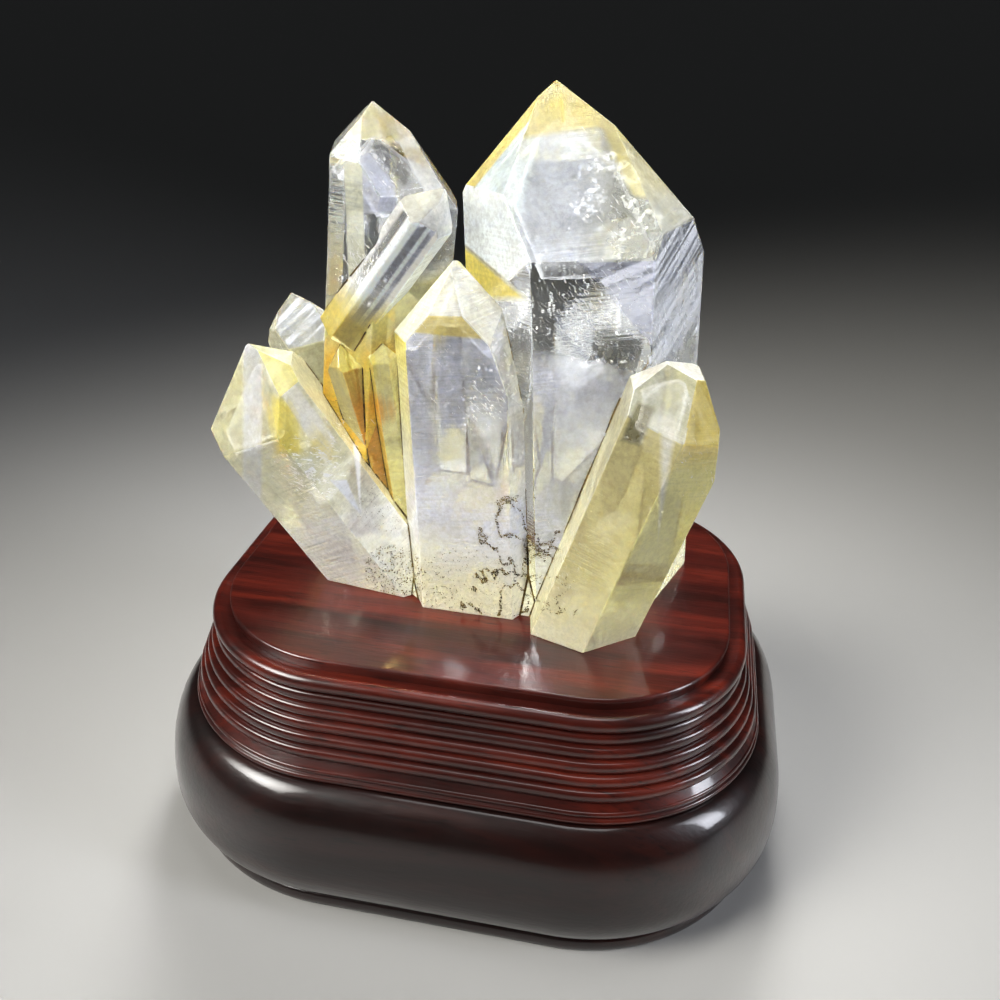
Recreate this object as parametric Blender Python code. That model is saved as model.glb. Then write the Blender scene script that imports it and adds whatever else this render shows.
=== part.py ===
"""Cluster of quartz crystals grown from one root, resting on a moulded wooden stand.

X runs along the stand's long side, Y to the back and Z up, with Z = 0 under the stand.
Lengths are named in millimetres and turned to metres where a mesh is made.
"""

import math

import bmesh
import bpy
from mathutils import Vector

MM = 0.001

# Stand: a rounded rectangle in plan, given by its top panel. Every moulding is an offset from it.
PANEL_HALF_LENGTH = 55.0
PANEL_HALF_DEPTH = 42.4
PANEL_CORNER_RADIUS = 29.8
STAND_HEIGHT = 56.0
LEDGE_BOTTOM = 32.6
SEAM_GAP = 0.3
CORNER_STEPS = 14
MOULDING_STEPS = 3

# Top tier: panel edge, groove, bead, ribs that step outward, and a thin double ledge.
EDGE_ROUND = 0.7
EDGE_CORNER = 0.2
GROOVE_DEPTH = 2.4
GROOVE_INNER = -0.2
GROOVE_OUTER = 0.4
BEAD_RADIUS = 1.75
BEAD_OFFSET = 2.2
BEAD_TOP = 53.9
BEAD_INNER = 1.1
BEAD_INNER_DROP = 0.3
BEAD_STEPS = 7
RIB_COUNT = 5
RIB_TOP = 50.2
RIB_HEIGHT = 2.7
RIB_FIRST_OFFSET = 3.0
RIB_STEP_OUT = 1.05
RIB_BULGE = 0.7
RIB_GROOVE = 0.25
LEDGE_OFFSET = 9.2
LEDGE_LIP = 0.45
LEDGE_UNDERCUT = 1.2
LOWER_LEDGE_FROM, LOWER_LEDGE_TO = 0.1, 1.3
UPPER_LEDGE_FROM, UPPER_LEDGE_TO = 1.6, 2.8
UPPER_LEDGE_INSET = 0.8

# Base tier: a cushion-shaped body over a small foot moulding.
BODY_TOP_OFFSET = 8.0
BODY_BULGE_OFFSET = 16.2
BODY_NECK_OFFSET = 10.6
BODY_WIDEST_HEIGHT = 13.0
BODY_NECK_HEIGHT = 4.6
BODY_NECK_BAND = 0.6
BODY_LOWER_STEPS = 5
BODY_UPPER_STEPS = 8
FOOT_OFFSET = 12.4
FOOT_ROUND = 0.9
FOOT_INSET = 1.0
FOOT_FROM, FOOT_TO = 0.2, 3.6
FOOT_STEPS = 5

# Cluster: it is cut flat just above the panel.
REST_GAP = 0.3
REST_HEIGHT = STAND_HEIGHT + REST_GAP
ROOT_DEPTH = 14.0
BLANK_SIZE = 400.0
CAP_SLOPE = math.radians(38.2)
SNAP = 1e-7

# Each crystal is a six-sided prism about the line from foot to tip, with heights above the panel.
# turn: how far the first side faces away from the front, towards the right, in degrees.
# sides: distance of the six side faces from that line. caps: how far under the tip each of the
# six end faces crosses it, where a negative value makes that end face smaller.
# cuts: further flat faces, as a point and a direction. ends_at_foot: it stops flat at its foot.
BIG_CRYSTALS = {
    "tall_right": {
        "foot": (17, 6, 0), "tip": (10.6, 8, 103.0), "turn": 11,
        "sides": (22, 24, 25, 22, 17.5, 17.5), "caps": (0, -6.5, 0, -5, -3.5, -5.0),
    },
    "tall_left": {
        "foot": (-33, 0, 0), "tip": (-24, -2, 99.8), "turn": 45,
        "sides": (11.5, 17.5, 12, 12, 7.2, 9), "caps": (0, -4.5, 0, -2, 0, -2),
    },
    "slim_leaning": {
        "foot": (-29.7, -7, 56.2), "tip": (-7.4, -11.3, 86.9), "turn": 20,
        "sides": (5, 5, 5, 5, 5, 5), "caps": (0, 1, 0, 0, 0, 1), "ends_at_foot": True,
    },
    "short_left": {
        "foot": (-29, 2, 0), "tip": (-44.5, 1, 61), "turn": 20,
        "sides": (8, 8, 9, 8, 6.5, 6.5), "caps": (0, -3, 0, -2, 1, -2),
    },
    "low_left": {
        "foot": (-14.1, -4.7, 0), "tip": (-46, -16, 54.5), "turn": -15,
        "sides": (12, 8, 5, 12, 17, 18.2), "caps": (0, -1, 0, -1, -2.5, -12.8),
        "cuts": [((-17.1, -18, 31.5), (0.80, -0.55, 0.22)), ((-14, -14, 10), (1, 0, 0))],
    },
    "front_middle": {
        "foot": (-1, -12, 0), "tip": (-6, -8, 74), "turn": 0,
        "sides": (8, 13, 14, 12, 12, 12), "caps": (0, 2.5, 1, 0, 0, 0),
        "cuts": [((1.2, -8, 67.6), (0.896, -0.240, 0.375))],
    },
    "front_right": {
        "foot": (21.3, -16, -2), "tip": (40.6, -14, 61), "turn": -20,
        "sides": (10.5, 11.5, 12, 10, 9, 9), "caps": (0, -1.5, 0, -2, 0, -2),
        "cuts": [((39.5, -14, 57.6), (0.30, 0, 0.95)), ((46.8, -13, 38), (1, 0, 0.03))],
    },
}

# Crystals of the back, which leans the same way on the other side.
BACK_CRYSTALS = {
    "back_right": {
        "foot": (12, 12, 0), "tip": (23, 31, 68), "turn": 170,
        "sides": (10, 11, 12, 11, 10, 9), "caps": (0, -3, 0, -2, 0, -4),
    },
    "back_left": {
        "foot": (-20, 10, 0), "tip": (-27, 28, 58), "turn": 150,
        "sides": (8, 9, 9, 8, 8, 8), "caps": (0, -2, 0, -3, 0, -1),
    },
    "back_middle": {
        "foot": (0, 14, 0), "tip": (-3, 35, 42), "turn": 195,
        "sides": (7, 7, 8, 7, 7, 7), "caps": (0, -1, 0, -2, 0, -2),
    },
    "back_corner": {
        "foot": (22, 14, 0), "tip": (35, 27, 44), "turn": 140,
        "sides": (7, 8, 7, 7, 8, 7), "caps": (0, -2, 0, -2, 0, -3),
    },
    "back_low": {
        "foot": (8, 18, 0), "tip": (13, 41, 24), "turn": 180,
        "sides": (5, 5.5, 5, 5, 5, 5), "caps": (0, -1, 0, -1, 0, -1),
    },
}

# Small crystals in the gaps between the large ones.
SMALL_CRYSTALS = {
    "gap_left": {
        "foot": (-20, -4, 10), "tip": (-29.5, -9.5, 55), "turn": 32,
        "sides": (4, 4.5, 4, 4, 4, 4), "caps": (0, -1, 0, -1, 0, -1),
    },
    "gap_left_slim": {
        "foot": (-17, -6, 8), "tip": (-21.5, -10, 56), "turn": 10,
        "sides": (3, 3, 3, 3, 3, 3), "caps": (0, -0.5, 0, -0.5, 0, -1),
    },
    "foot_left": {
        "foot": (-20, -2, 0), "tip": (-34, 12, 30), "turn": 60,
        "sides": (4.5, 5, 5, 4, 4, 5), "caps": (0, -1, 0, -1, 0, -1),
    },
    "foot_back": {
        "foot": (-8, 16, 0), "tip": (-15, 35, 22), "turn": 205,
        "sides": (4, 4, 4.5, 4, 4, 4), "caps": (0, -1, 0, -1, 0, -1),
    },
    "foot_right": {
        "foot": (26, 2, 0), "tip": (42, 10, 27), "turn": 100,
        "sides": (5, 5, 5, 5, 5, 5), "caps": (0, -1, 0, -1, 0, -2),
    },
}

# Root mass that all crystals stand in: side faces by direction in plan, distance and slope.
ROOT_CENTRE = (1.0, 2.0)
ROOT_HEIGHT = 26.0
ROOT_FACES = (
    (0, 20.0, 20), (52, 27.0, 34), (98, 30.0, 30), (140, 27.0, 36),
    (182, 24.0, 28), (228, 28.0, 34), (268, 27.0, 26), (322, 23.0, 24),
)


def clear_scene():
    for obj in list(bpy.data.objects):
        bpy.data.objects.remove(obj, do_unlink=True)


def new_collection(name):
    collection = bpy.data.collections.new(name)
    bpy.context.scene.collection.children.link(collection)
    return collection


def new_material(name, colour, roughness, transmission=0.0, ior=1.5):
    material = bpy.data.materials.new(name)
    material.use_nodes = True
    shader = material.node_tree.nodes["Principled BSDF"]
    shader.inputs["Base Color"].default_value = (*colour, 1.0)
    shader.inputs["Roughness"].default_value = roughness
    shader.inputs["Transmission Weight"].default_value = transmission
    shader.inputs["IOR"].default_value = ior
    return material


def quartz_material():
    return new_material("clear_quartz", (0.93, 0.92, 0.86), 0.05, transmission=1.0, ior=1.54)


def stand_top_material():
    return new_material("lacquered_rosewood", (0.10, 0.022, 0.014), 0.2)


def stand_base_material():
    return new_material("dark_lacquered_rosewood", (0.05, 0.012, 0.009), 0.2)


def object_from(bm, name, collection, material):
    bmesh.ops.recalc_face_normals(bm, faces=bm.faces)
    mesh = bpy.data.meshes.new(name)
    bm.to_mesh(mesh)
    bm.free()
    mesh.materials.append(material)
    obj = bpy.data.objects.new(name, mesh)
    collection.objects.link(obj)
    return obj


def metres(point):
    return Vector(point) * MM


def cut_flat(bm, point, direction):
    """Takes away what lies beyond a plane, given in metres, and closes the cut with one face."""
    geometry = bm.verts[:] + bm.edges[:] + bm.faces[:]
    bmesh.ops.bisect_plane(
        bm, geom=geometry, dist=SNAP, plane_co=point, plane_no=direction, clear_outer=True
    )
    rim = [edge for edge in bm.edges if edge.is_boundary]
    if rim:
        bmesh.ops.edgeloop_fill(bm, edges=rim)


def crystal_faces(shape):
    """The point and outward direction of each flat face of a crystal, in metres."""
    lift = Vector((0, 0, STAND_HEIGHT))
    foot = metres(Vector(shape["foot"]) + lift)
    tip = metres(Vector(shape["tip"]) + lift)
    axis = (tip - foot).normalized()
    front = Vector((0, -1, 0))
    front = (front - axis * front.dot(axis)).normalized()
    right = axis.cross(front)
    faces = []
    for k in range(6):
        angle = math.radians(shape["turn"] + 60 * k)
        out = front * math.cos(angle) + right * math.sin(angle)
        faces.append((tip + out * shape["sides"][k] * MM, out))
        cap = out * math.cos(CAP_SLOPE) + axis * math.sin(CAP_SLOPE)
        faces.append((tip - axis * shape["caps"][k] * MM, cap))
    for point, direction in shape.get("cuts", []):
        faces.append((metres(Vector(point) + lift), Vector(direction).normalized()))
    below = 0.0 if shape.get("ends_at_foot") else ROOT_DEPTH
    faces.append((foot - axis * below * MM, -axis))
    return faces, (foot + tip) / 2


def root_faces():
    """The point and outward direction of each flat face of the root mass, in metres."""
    centre = metres((*ROOT_CENTRE, REST_HEIGHT))
    faces = [
        (metres((0, 0, REST_HEIGHT - ROOT_DEPTH)), Vector((0, 0, -1))),
        (metres((0, 0, REST_HEIGHT + ROOT_HEIGHT)), Vector((0, 0, 1))),
    ]
    for turn, distance, slope in ROOT_FACES:
        angle = math.radians(turn)
        tilt = math.radians(slope)
        out = Vector((math.sin(angle), -math.cos(angle), 0))
        normal = out * math.cos(tilt) + Vector((0, 0, 1)) * math.sin(tilt)
        faces.append((centre + out * distance * MM, normal))
    return faces, centre


def solid_from_faces(name, faces, middle, collection, material):
    bm = bmesh.new()
    bmesh.ops.create_cube(bm, size=BLANK_SIZE * MM)
    bmesh.ops.translate(bm, verts=bm.verts, vec=middle)
    for point, direction in faces:
        cut_flat(bm, point, direction)
    return object_from(bm, name, collection, material)


def add_union(obj, others):
    for other in others:
        modifier = obj.modifiers.new("join_" + other.name, "BOOLEAN")
        modifier.operation = "UNION"
        modifier.solver = "EXACT"
        modifier.object = other


def cut_to_rest(obj, helpers):
    """Takes away all that is lower than the flat on which the cluster rests."""
    bm = bmesh.new()
    bmesh.ops.create_cube(bm, size=BLANK_SIZE * MM)
    drop = Vector((0, 0, REST_HEIGHT - BLANK_SIZE / 2)) * MM
    bmesh.ops.translate(bm, verts=bm.verts, vec=drop)
    cutter = object_from(bm, "rest_cutter", helpers, obj.data.materials[0])
    cutter.hide_render = True
    cutter.display_type = "WIRE"
    modifier = obj.modifiers.new("cut_flat", "BOOLEAN")
    modifier.operation = "DIFFERENCE"
    modifier.solver = "EXACT"
    modifier.object = cutter


def make_cluster(parts, helpers):
    material = quartz_material()
    faces, middle = root_faces()
    cluster = solid_from_faces("quartz_cluster", faces, middle, parts, material)
    crystals = []
    for family in (BIG_CRYSTALS, BACK_CRYSTALS, SMALL_CRYSTALS):
        for name, shape in family.items():
            faces, middle = crystal_faces(shape)
            crystal = solid_from_faces("crystal_" + name, faces, middle, helpers, material)
            crystal.hide_render = True
            crystal.display_type = "WIRE"
            crystals.append(crystal)
    add_union(cluster, crystals)
    cut_to_rest(cluster, helpers)
    return cluster


def place_ring(verts, offset, height):
    """Moves one ring of the stand to its offset from the panel's outline and to its height."""
    centre_x = (PANEL_HALF_LENGTH - PANEL_CORNER_RADIUS) * MM
    centre_y = (PANEL_HALF_DEPTH - PANEL_CORNER_RADIUS) * MM
    for vert in verts:
        centre = Vector((math.copysign(centre_x, vert.co.x), math.copysign(centre_y, vert.co.y), 0))
        out = Vector((vert.co.x, vert.co.y, 0)) - centre
        place = centre + out.normalized() * (PANEL_CORNER_RADIUS + offset) * MM
        vert.co = Vector((place.x, place.y, height * MM))


def rounded_plate(bm):
    """A face with the panel's outline, from a plate with its four corners rounded."""
    corners = bmesh.ops.create_grid(bm, x_segments=1, y_segments=1, size=0.5)["verts"]
    size = Vector((2 * PANEL_HALF_LENGTH * MM, 2 * PANEL_HALF_DEPTH * MM, 1.0))
    bmesh.ops.scale(bm, vec=size, verts=corners)
    bmesh.ops.bevel(
        bm, geom=corners, offset=PANEL_CORNER_RADIUS * MM, offset_type="OFFSET",
        segments=CORNER_STEPS, profile=0.5, affect="VERTICES",
    )
    return bm.faces[:]


def make_tier(name, profile, collection, material):
    """A tier of the stand: the plate's face, drawn along a profile of (offset, height) pairs."""
    bm = bmesh.new()
    underside = rounded_plate(bm)
    place_ring(bm.verts[:], *profile[0])
    face = underside
    for offset, height in profile[1:]:
        made = bmesh.ops.extrude_face_region(bm, geom=face)
        if face is not underside:
            bmesh.ops.delete(bm, geom=face, context="FACES_ONLY")
        face = [item for item in made["geom"] if isinstance(item, bmesh.types.BMFace)]
        ring = [item for item in made["geom"] if isinstance(item, bmesh.types.BMVert)]
        place_ring(ring, offset, height)
    return object_from(bm, name, collection, material)


def half_round(centre_offset, top, bottom, bulge, steps):
    """Profile points of one half-round moulding, from its bottom to its top."""
    points = []
    for k in range(steps + 1):
        angle = math.pi * (k / steps - 0.5)
        height = (top + bottom) / 2 + math.sin(angle) * (top - bottom) / 2
        points.append((centre_offset + math.cos(angle) * bulge, height))
    return points


def stand_top_profile():
    points = [(LEDGE_OFFSET - LEDGE_UNDERCUT, LEDGE_BOTTOM)]
    for start, end, inset in (
        (LOWER_LEDGE_FROM, LOWER_LEDGE_TO, LEDGE_LIP),
        (UPPER_LEDGE_FROM, UPPER_LEDGE_TO, UPPER_LEDGE_INSET),
    ):
        points += half_round(
            LEDGE_OFFSET - inset, LEDGE_BOTTOM + end, LEDGE_BOTTOM + start, LEDGE_LIP, MOULDING_STEPS
        )
    for k in reversed(range(RIB_COUNT)):
        top = RIB_TOP - k * RIB_HEIGHT
        bottom = top - RIB_HEIGHT + RIB_GROOVE
        offset = RIB_FIRST_OFFSET + k * RIB_STEP_OUT
        points += half_round(offset, top, bottom, RIB_BULGE, MOULDING_STEPS)
    bead_bottom = BEAD_TOP - 2 * BEAD_RADIUS
    points += half_round(BEAD_OFFSET, BEAD_TOP, bead_bottom, BEAD_RADIUS, BEAD_STEPS)
    groove_floor = STAND_HEIGHT - GROOVE_DEPTH
    points += [
        (BEAD_INNER, BEAD_TOP - BEAD_INNER_DROP),
        (GROOVE_OUTER, groove_floor),
        (GROOVE_INNER, groove_floor),
        (0.0, STAND_HEIGHT - EDGE_ROUND),
        (-EDGE_CORNER, STAND_HEIGHT - EDGE_CORNER),
        (-EDGE_ROUND, STAND_HEIGHT),
    ]
    return points


def stand_base_profile():
    top = LEDGE_BOTTOM - SEAM_GAP
    points = [(FOOT_OFFSET - FOOT_INSET, 0.0)]
    points += half_round(FOOT_OFFSET - FOOT_ROUND, FOOT_TO, FOOT_FROM, FOOT_ROUND, FOOT_STEPS)
    points.append((BODY_NECK_OFFSET, BODY_NECK_HEIGHT - BODY_NECK_BAND))
    points.append((BODY_NECK_OFFSET, BODY_NECK_HEIGHT))
    for k in range(1, BODY_LOWER_STEPS + 1):
        angle = math.pi / 2 * k / BODY_LOWER_STEPS
        offset = BODY_NECK_OFFSET + (BODY_BULGE_OFFSET - BODY_NECK_OFFSET) * math.sin(angle)
        rise = (BODY_WIDEST_HEIGHT - BODY_NECK_HEIGHT) * math.cos(angle)
        points.append((offset, BODY_WIDEST_HEIGHT - rise))
    for k in range(1, BODY_UPPER_STEPS + 1):
        angle = math.pi / 2 * k / BODY_UPPER_STEPS
        offset = BODY_TOP_OFFSET + (BODY_BULGE_OFFSET - BODY_TOP_OFFSET) * math.cos(angle)
        points.append((offset, BODY_WIDEST_HEIGHT + (top - BODY_WIDEST_HEIGHT) * math.sin(angle)))
    return points


def main():
    clear_scene()
    parts = new_collection("quartz_cluster_on_stand")
    helpers = new_collection("crystal_helpers")
    make_tier("stand_base", stand_base_profile(), parts, stand_base_material())
    make_tier("stand_top", stand_top_profile(), parts, stand_top_material())
    make_cluster(parts, helpers)


main()
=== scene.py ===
"""Looks of a quartz cluster on its lacquered stand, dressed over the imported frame."""

import math
import random

import bmesh
import bpy
from mathutils import Euler, Matrix, Vector, noise
from mathutils.bvhtree import BVHTree


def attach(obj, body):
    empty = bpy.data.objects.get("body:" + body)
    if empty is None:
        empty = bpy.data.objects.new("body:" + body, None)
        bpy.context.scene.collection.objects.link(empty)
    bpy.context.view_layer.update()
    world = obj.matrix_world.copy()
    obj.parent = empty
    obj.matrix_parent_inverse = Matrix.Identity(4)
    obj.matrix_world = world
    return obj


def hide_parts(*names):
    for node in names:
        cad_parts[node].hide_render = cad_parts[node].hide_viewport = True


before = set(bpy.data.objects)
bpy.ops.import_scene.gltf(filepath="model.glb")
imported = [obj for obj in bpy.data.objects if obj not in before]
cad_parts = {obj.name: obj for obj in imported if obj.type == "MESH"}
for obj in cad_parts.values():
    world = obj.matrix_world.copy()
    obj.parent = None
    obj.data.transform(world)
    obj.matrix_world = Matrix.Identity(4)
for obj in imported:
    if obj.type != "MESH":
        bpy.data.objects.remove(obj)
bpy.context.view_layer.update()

MM = 0.001


# Base tier of the stand. The real one is turned and moulded from a dense red-brown hardwood:
# a cushion-shaped body over a small foot, under several coats of clear lacquer. Its wood is painted
# nearly black, darker than the top tier's: painted shade for a tier that stands in shadow. It carries
# the top tier.

PANEL_HALF_LENGTH = 55.0
PANEL_HALF_DEPTH = 42.4
PANEL_CORNER_RADIUS = 29.8
CORNER_STEPS = 36
LEDGE_BOTTOM = 32.6
SEAM_GAP = 0.3
BODY_TOP_OFFSET = 8.0
BODY_BULGE_OFFSET = 16.2
BODY_WIDEST_HEIGHT = 13.0
BODY_NECK_OFFSET = 10.6
BODY_NECK_HEIGHT = 4.6
FOOT_OFFSET = 12.4
FOOT_ROUND = 0.9
SHARP_ANGLE = math.radians(32)


def srgb(text):
    """A linear colour from an sRGB hex value."""
    values = [int(text[k : k + 2], 16) / 255 for k in (1, 3, 5)]
    return (*[v / 12.92 if v <= 0.04045 else ((v + 0.055) / 1.055) ** 2.4 for v in values], 1.0)


def scale_for(size):
    """The scale at which a pattern on Object coordinates repeats about every size millimetres."""
    return 1000.0 / size


def new_material(name):
    material = bpy.data.materials.new(name)
    material.use_nodes = True
    return material, material.node_tree.nodes["Principled BSDF"]


def add_node(material, kind, settings=None, links=None):
    """Adds a node with its properties and input values, and links other nodes' outputs to its inputs."""
    node = material.node_tree.nodes.new(kind)
    for key, value in (settings or {}).items():
        if isinstance(key, str) and hasattr(node, key):
            setattr(node, key, value)
        else:
            node.inputs[key].default_value = value
    for key, output in (links or {}).items():
        material.node_tree.links.new(output, node.inputs[key])
    return node


def ramp_between(material, factor, stops, interpolation="LINEAR"):
    """A colour ramp of (place, hex colour) stops, read with factor."""
    node = add_node(material, "ShaderNodeValToRGB", links={"Fac": factor})
    node.color_ramp.interpolation = interpolation
    while len(node.color_ramp.elements) < len(stops):
        node.color_ramp.elements.new(0.5)
    for element, (place, colour) in zip(node.color_ramp.elements, stops):
        element.position = place
        element.color = srgb(colour)
    return node.outputs["Color"]


def lacquered_wood(name, dark, middle, light):
    """Rosewood under clear lacquer: long dark pores and bands, seen through a smooth glossy coat."""
    material, shader = new_material(name)
    place = add_node(material, "ShaderNodeTexCoord").outputs["Object"]
    along = add_node(material, "ShaderNodeMapping", {"Scale": (0.10, 1.0, 0.55)}, {"Vector": place})
    bands = add_node(
        material, "ShaderNodeTexNoise",
        {"Scale": scale_for(7.0), "Detail": 4.0, "Roughness": 0.6, "Distortion": 0.6},
        {"Vector": along.outputs["Vector"]},
    )
    colour = ramp_between(
        material, bands.outputs["Fac"], [(0.30, dark), (0.5, middle), (0.68, light)]
    )
    # Pores are about 0.15 mm wide in the wood and drawn at 0.35 mm, the finest that shows.
    pores = add_node(
        material, "ShaderNodeTexNoise",
        {"Scale": scale_for(0.7), "Detail": 2.0, "Roughness": 0.7},
        {"Vector": along.outputs["Vector"]},
    )
    pore_depth = add_node(
        material, "ShaderNodeMapRange",
        {"From Min": 0.56, "From Max": 0.70, "To Min": 0.0, "To Max": 0.75},
        {"Value": pores.outputs["Fac"]},
    )
    grained = add_node(
        material, "ShaderNodeMix", {"data_type": "RGBA", 7: srgb(dark)},
        {0: pore_depth.outputs["Result"], 6: colour},
    )
    material.node_tree.links.new(grained.outputs[2], shader.inputs["Base Color"])
    # Lacquer brushed by hand lies in very shallow waves a few millimetres apart.
    waves = add_node(
        material, "ShaderNodeTexNoise",
        {"Scale": scale_for(5.0), "Detail": 2.0, "Roughness": 0.5}, {"Vector": place},
    )
    waves_bump = add_node(
        material, "ShaderNodeBump", {"Strength": 0.25, "Distance": 0.00012},
        {"Height": waves.outputs["Fac"]},
    )
    material.node_tree.links.new(waves_bump.outputs["Normal"], shader.inputs["Coat Normal"])
    pore_bump = add_node(
        material, "ShaderNodeBump", {"Strength": 0.35, "Distance": 0.00015, "invert": True},
        {"Height": pores.outputs["Fac"], "Normal": waves_bump.outputs["Normal"]},
    )
    material.node_tree.links.new(pore_bump.outputs["Normal"], shader.inputs["Normal"])
    handling = add_node(
        material, "ShaderNodeTexNoise",
        {"Scale": scale_for(18.0), "Detail": 3.0, "Roughness": 0.6}, {"Vector": place},
    )
    roughness = add_node(
        material, "ShaderNodeMapRange",
        {"From Min": 0.35, "From Max": 0.7, "To Min": 0.30, "To Max": 0.42},
        {"Value": handling.outputs["Fac"]},
    )
    material.node_tree.links.new(roughness.outputs["Result"], shader.inputs["Roughness"])
    shader.inputs["IOR"].default_value = 1.5
    shader.inputs["Specular IOR Level"].default_value = 0.3
    shader.inputs["Coat Weight"].default_value = 0.75
    shader.inputs["Coat Roughness"].default_value = 0.1
    shader.inputs["Coat IOR"].default_value = 1.52
    return material


def place_ring(verts, offset, height):
    """Moves one ring of the stand to its offset from the panel's outline and to its height."""
    centre_x = (PANEL_HALF_LENGTH - PANEL_CORNER_RADIUS) * MM
    centre_y = (PANEL_HALF_DEPTH - PANEL_CORNER_RADIUS) * MM
    for vert in verts:
        centre = Vector((math.copysign(centre_x, vert.co.x), math.copysign(centre_y, vert.co.y), 0))
        out = Vector((vert.co.x, vert.co.y, 0)) - centre
        place = centre + out.normalized() * (PANEL_CORNER_RADIUS + offset) * MM
        vert.co = Vector((place.x, place.y, height * MM))


def moulded_tier(profile):
    """A tier of the stand: the panel's outline drawn along a profile of (offset, height) pairs."""
    bm = bmesh.new()
    corners = bmesh.ops.create_grid(bm, x_segments=1, y_segments=1, size=0.5)["verts"]
    size = Vector((2 * PANEL_HALF_LENGTH * MM, 2 * PANEL_HALF_DEPTH * MM, 1.0))
    bmesh.ops.scale(bm, vec=size, verts=corners)
    bmesh.ops.bevel(
        bm, geom=corners, offset=PANEL_CORNER_RADIUS * MM, offset_type="OFFSET",
        segments=CORNER_STEPS, profile=0.5, affect="VERTICES", material=-1,
    )
    place_ring(bm.verts[:], *profile[0])
    underside = bm.faces[:]
    face = underside
    for offset, height in profile[1:]:
        made = bmesh.ops.extrude_face_region(bm, geom=face)
        if face is not underside:
            bmesh.ops.delete(bm, geom=face, context="FACES_ONLY")
        face = [item for item in made["geom"] if isinstance(item, bmesh.types.BMFace)]
        ring = [item for item in made["geom"] if isinstance(item, bmesh.types.BMVert)]
        place_ring(ring, offset, height)
    bmesh.ops.recalc_face_normals(bm, faces=bm.faces)
    return bm


def smooth_but_sharp(bm, angle):
    """Shades every face smooth and keeps the edges sharper than angle crisp."""
    for face in bm.faces:
        face.smooth = True
    for edge in bm.edges:
        edge.smooth = len(edge.link_faces) == 2 and edge.calc_face_angle() < angle


def object_from(bm, name, *materials):
    mesh = bpy.data.meshes.new(name)
    bm.to_mesh(mesh)
    bm.free()
    for material in materials:
        mesh.materials.append(material)
    obj = bpy.data.objects.new(name, mesh)
    bpy.context.scene.collection.objects.link(obj)
    return obj


def half_round(centre_offset, top, bottom, bulge, steps):
    """Profile points of one half-round moulding, from its bottom to its top."""
    points = []
    for k in range(steps + 1):
        angle = math.pi * (k / steps - 0.5)
        height = (top + bottom) / 2 + math.sin(angle) * (top - bottom) / 2
        points.append((centre_offset + math.cos(angle) * bulge, height))
    return points


base_top = LEDGE_BOTTOM - SEAM_GAP
base_profile = [(FOOT_OFFSET - 1.0, 0.0)]
base_profile += half_round(FOOT_OFFSET - FOOT_ROUND, 3.6, 0.2, FOOT_ROUND, 10)
base_profile += [(BODY_NECK_OFFSET, BODY_NECK_HEIGHT - 0.6), (BODY_NECK_OFFSET, BODY_NECK_HEIGHT)]
for step in range(1, 11):
    turn = math.radians(9 * step)
    base_profile.append((
        BODY_NECK_OFFSET + (BODY_BULGE_OFFSET - BODY_NECK_OFFSET) * math.sin(turn),
        BODY_WIDEST_HEIGHT - (BODY_WIDEST_HEIGHT - BODY_NECK_HEIGHT) * math.cos(turn),
    ))
for step in range(1, 17):
    turn = math.radians(90 / 16 * step)
    base_profile.append((
        BODY_TOP_OFFSET + (BODY_BULGE_OFFSET - BODY_TOP_OFFSET) * math.cos(turn),
        BODY_WIDEST_HEIGHT + (base_top - BODY_WIDEST_HEIGHT) * math.sin(turn),
    ))

base_bm = moulded_tier(base_profile)
smooth_but_sharp(base_bm, SHARP_ANGLE)
# Painted shade: the base's colours are darker copies of the top tier's wood, for a tier in shadow.
base_wood_painted_shade = lacquered_wood("dark_lacquered_rosewood", "#0c0504", "#1c0a08", "#2c100b")
stand_body = object_from(base_bm, "stand_body", base_wood_painted_shade)
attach(stand_body, "root")
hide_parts("stand_base")


# Top tier of the stand. The same wood in its own red-brown, lighter than the base's painted shade:
# a raised flat panel with a crisp edge, a groove, a round bead, five fine ribs that step outwards,
# and a thin double ledge that covers the joint with the base.

STAND_HEIGHT = 56.0
EDGE_ROUND = 0.7
GROOVE_DEPTH = 2.4
BEAD_RADIUS = 1.75
BEAD_OFFSET = 2.2
BEAD_TOP = 53.9
RIB_COUNT = 5
RIB_TOP = 50.2
RIB_HEIGHT = 2.7
RIB_FIRST_OFFSET = 3.0
RIB_STEP_OUT = 1.05
RIB_BULGE = 0.7
LEDGE_OFFSET = 9.2
LEDGE_LIP = 0.45

top_profile = [(LEDGE_OFFSET - 1.2, LEDGE_BOTTOM)]
top_profile += half_round(LEDGE_OFFSET - LEDGE_LIP, LEDGE_BOTTOM + 1.3, LEDGE_BOTTOM + 0.1, LEDGE_LIP, 8)
top_profile += half_round(LEDGE_OFFSET - 0.8, LEDGE_BOTTOM + 2.8, LEDGE_BOTTOM + 1.6, LEDGE_LIP, 8)
for rib in reversed(range(RIB_COUNT)):
    rib_top = RIB_TOP - rib * RIB_HEIGHT
    rib_offset = RIB_FIRST_OFFSET + rib * RIB_STEP_OUT
    top_profile += half_round(rib_offset, rib_top, rib_top - RIB_HEIGHT + 0.25, RIB_BULGE, 8)
top_profile += half_round(BEAD_OFFSET, BEAD_TOP, BEAD_TOP - 2 * BEAD_RADIUS, BEAD_RADIUS, 18)
groove_floor = STAND_HEIGHT - GROOVE_DEPTH
top_profile += [(1.1, BEAD_TOP - 0.3), (0.4, groove_floor), (-0.2, groove_floor)]
top_profile += [(0.0, STAND_HEIGHT - EDGE_ROUND)]
for step in range(1, 7):
    turn = math.radians(15 * step)
    top_profile.append((
        -EDGE_ROUND + EDGE_ROUND * math.cos(turn),
        STAND_HEIGHT - EDGE_ROUND + EDGE_ROUND * math.sin(turn),
    ))

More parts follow.
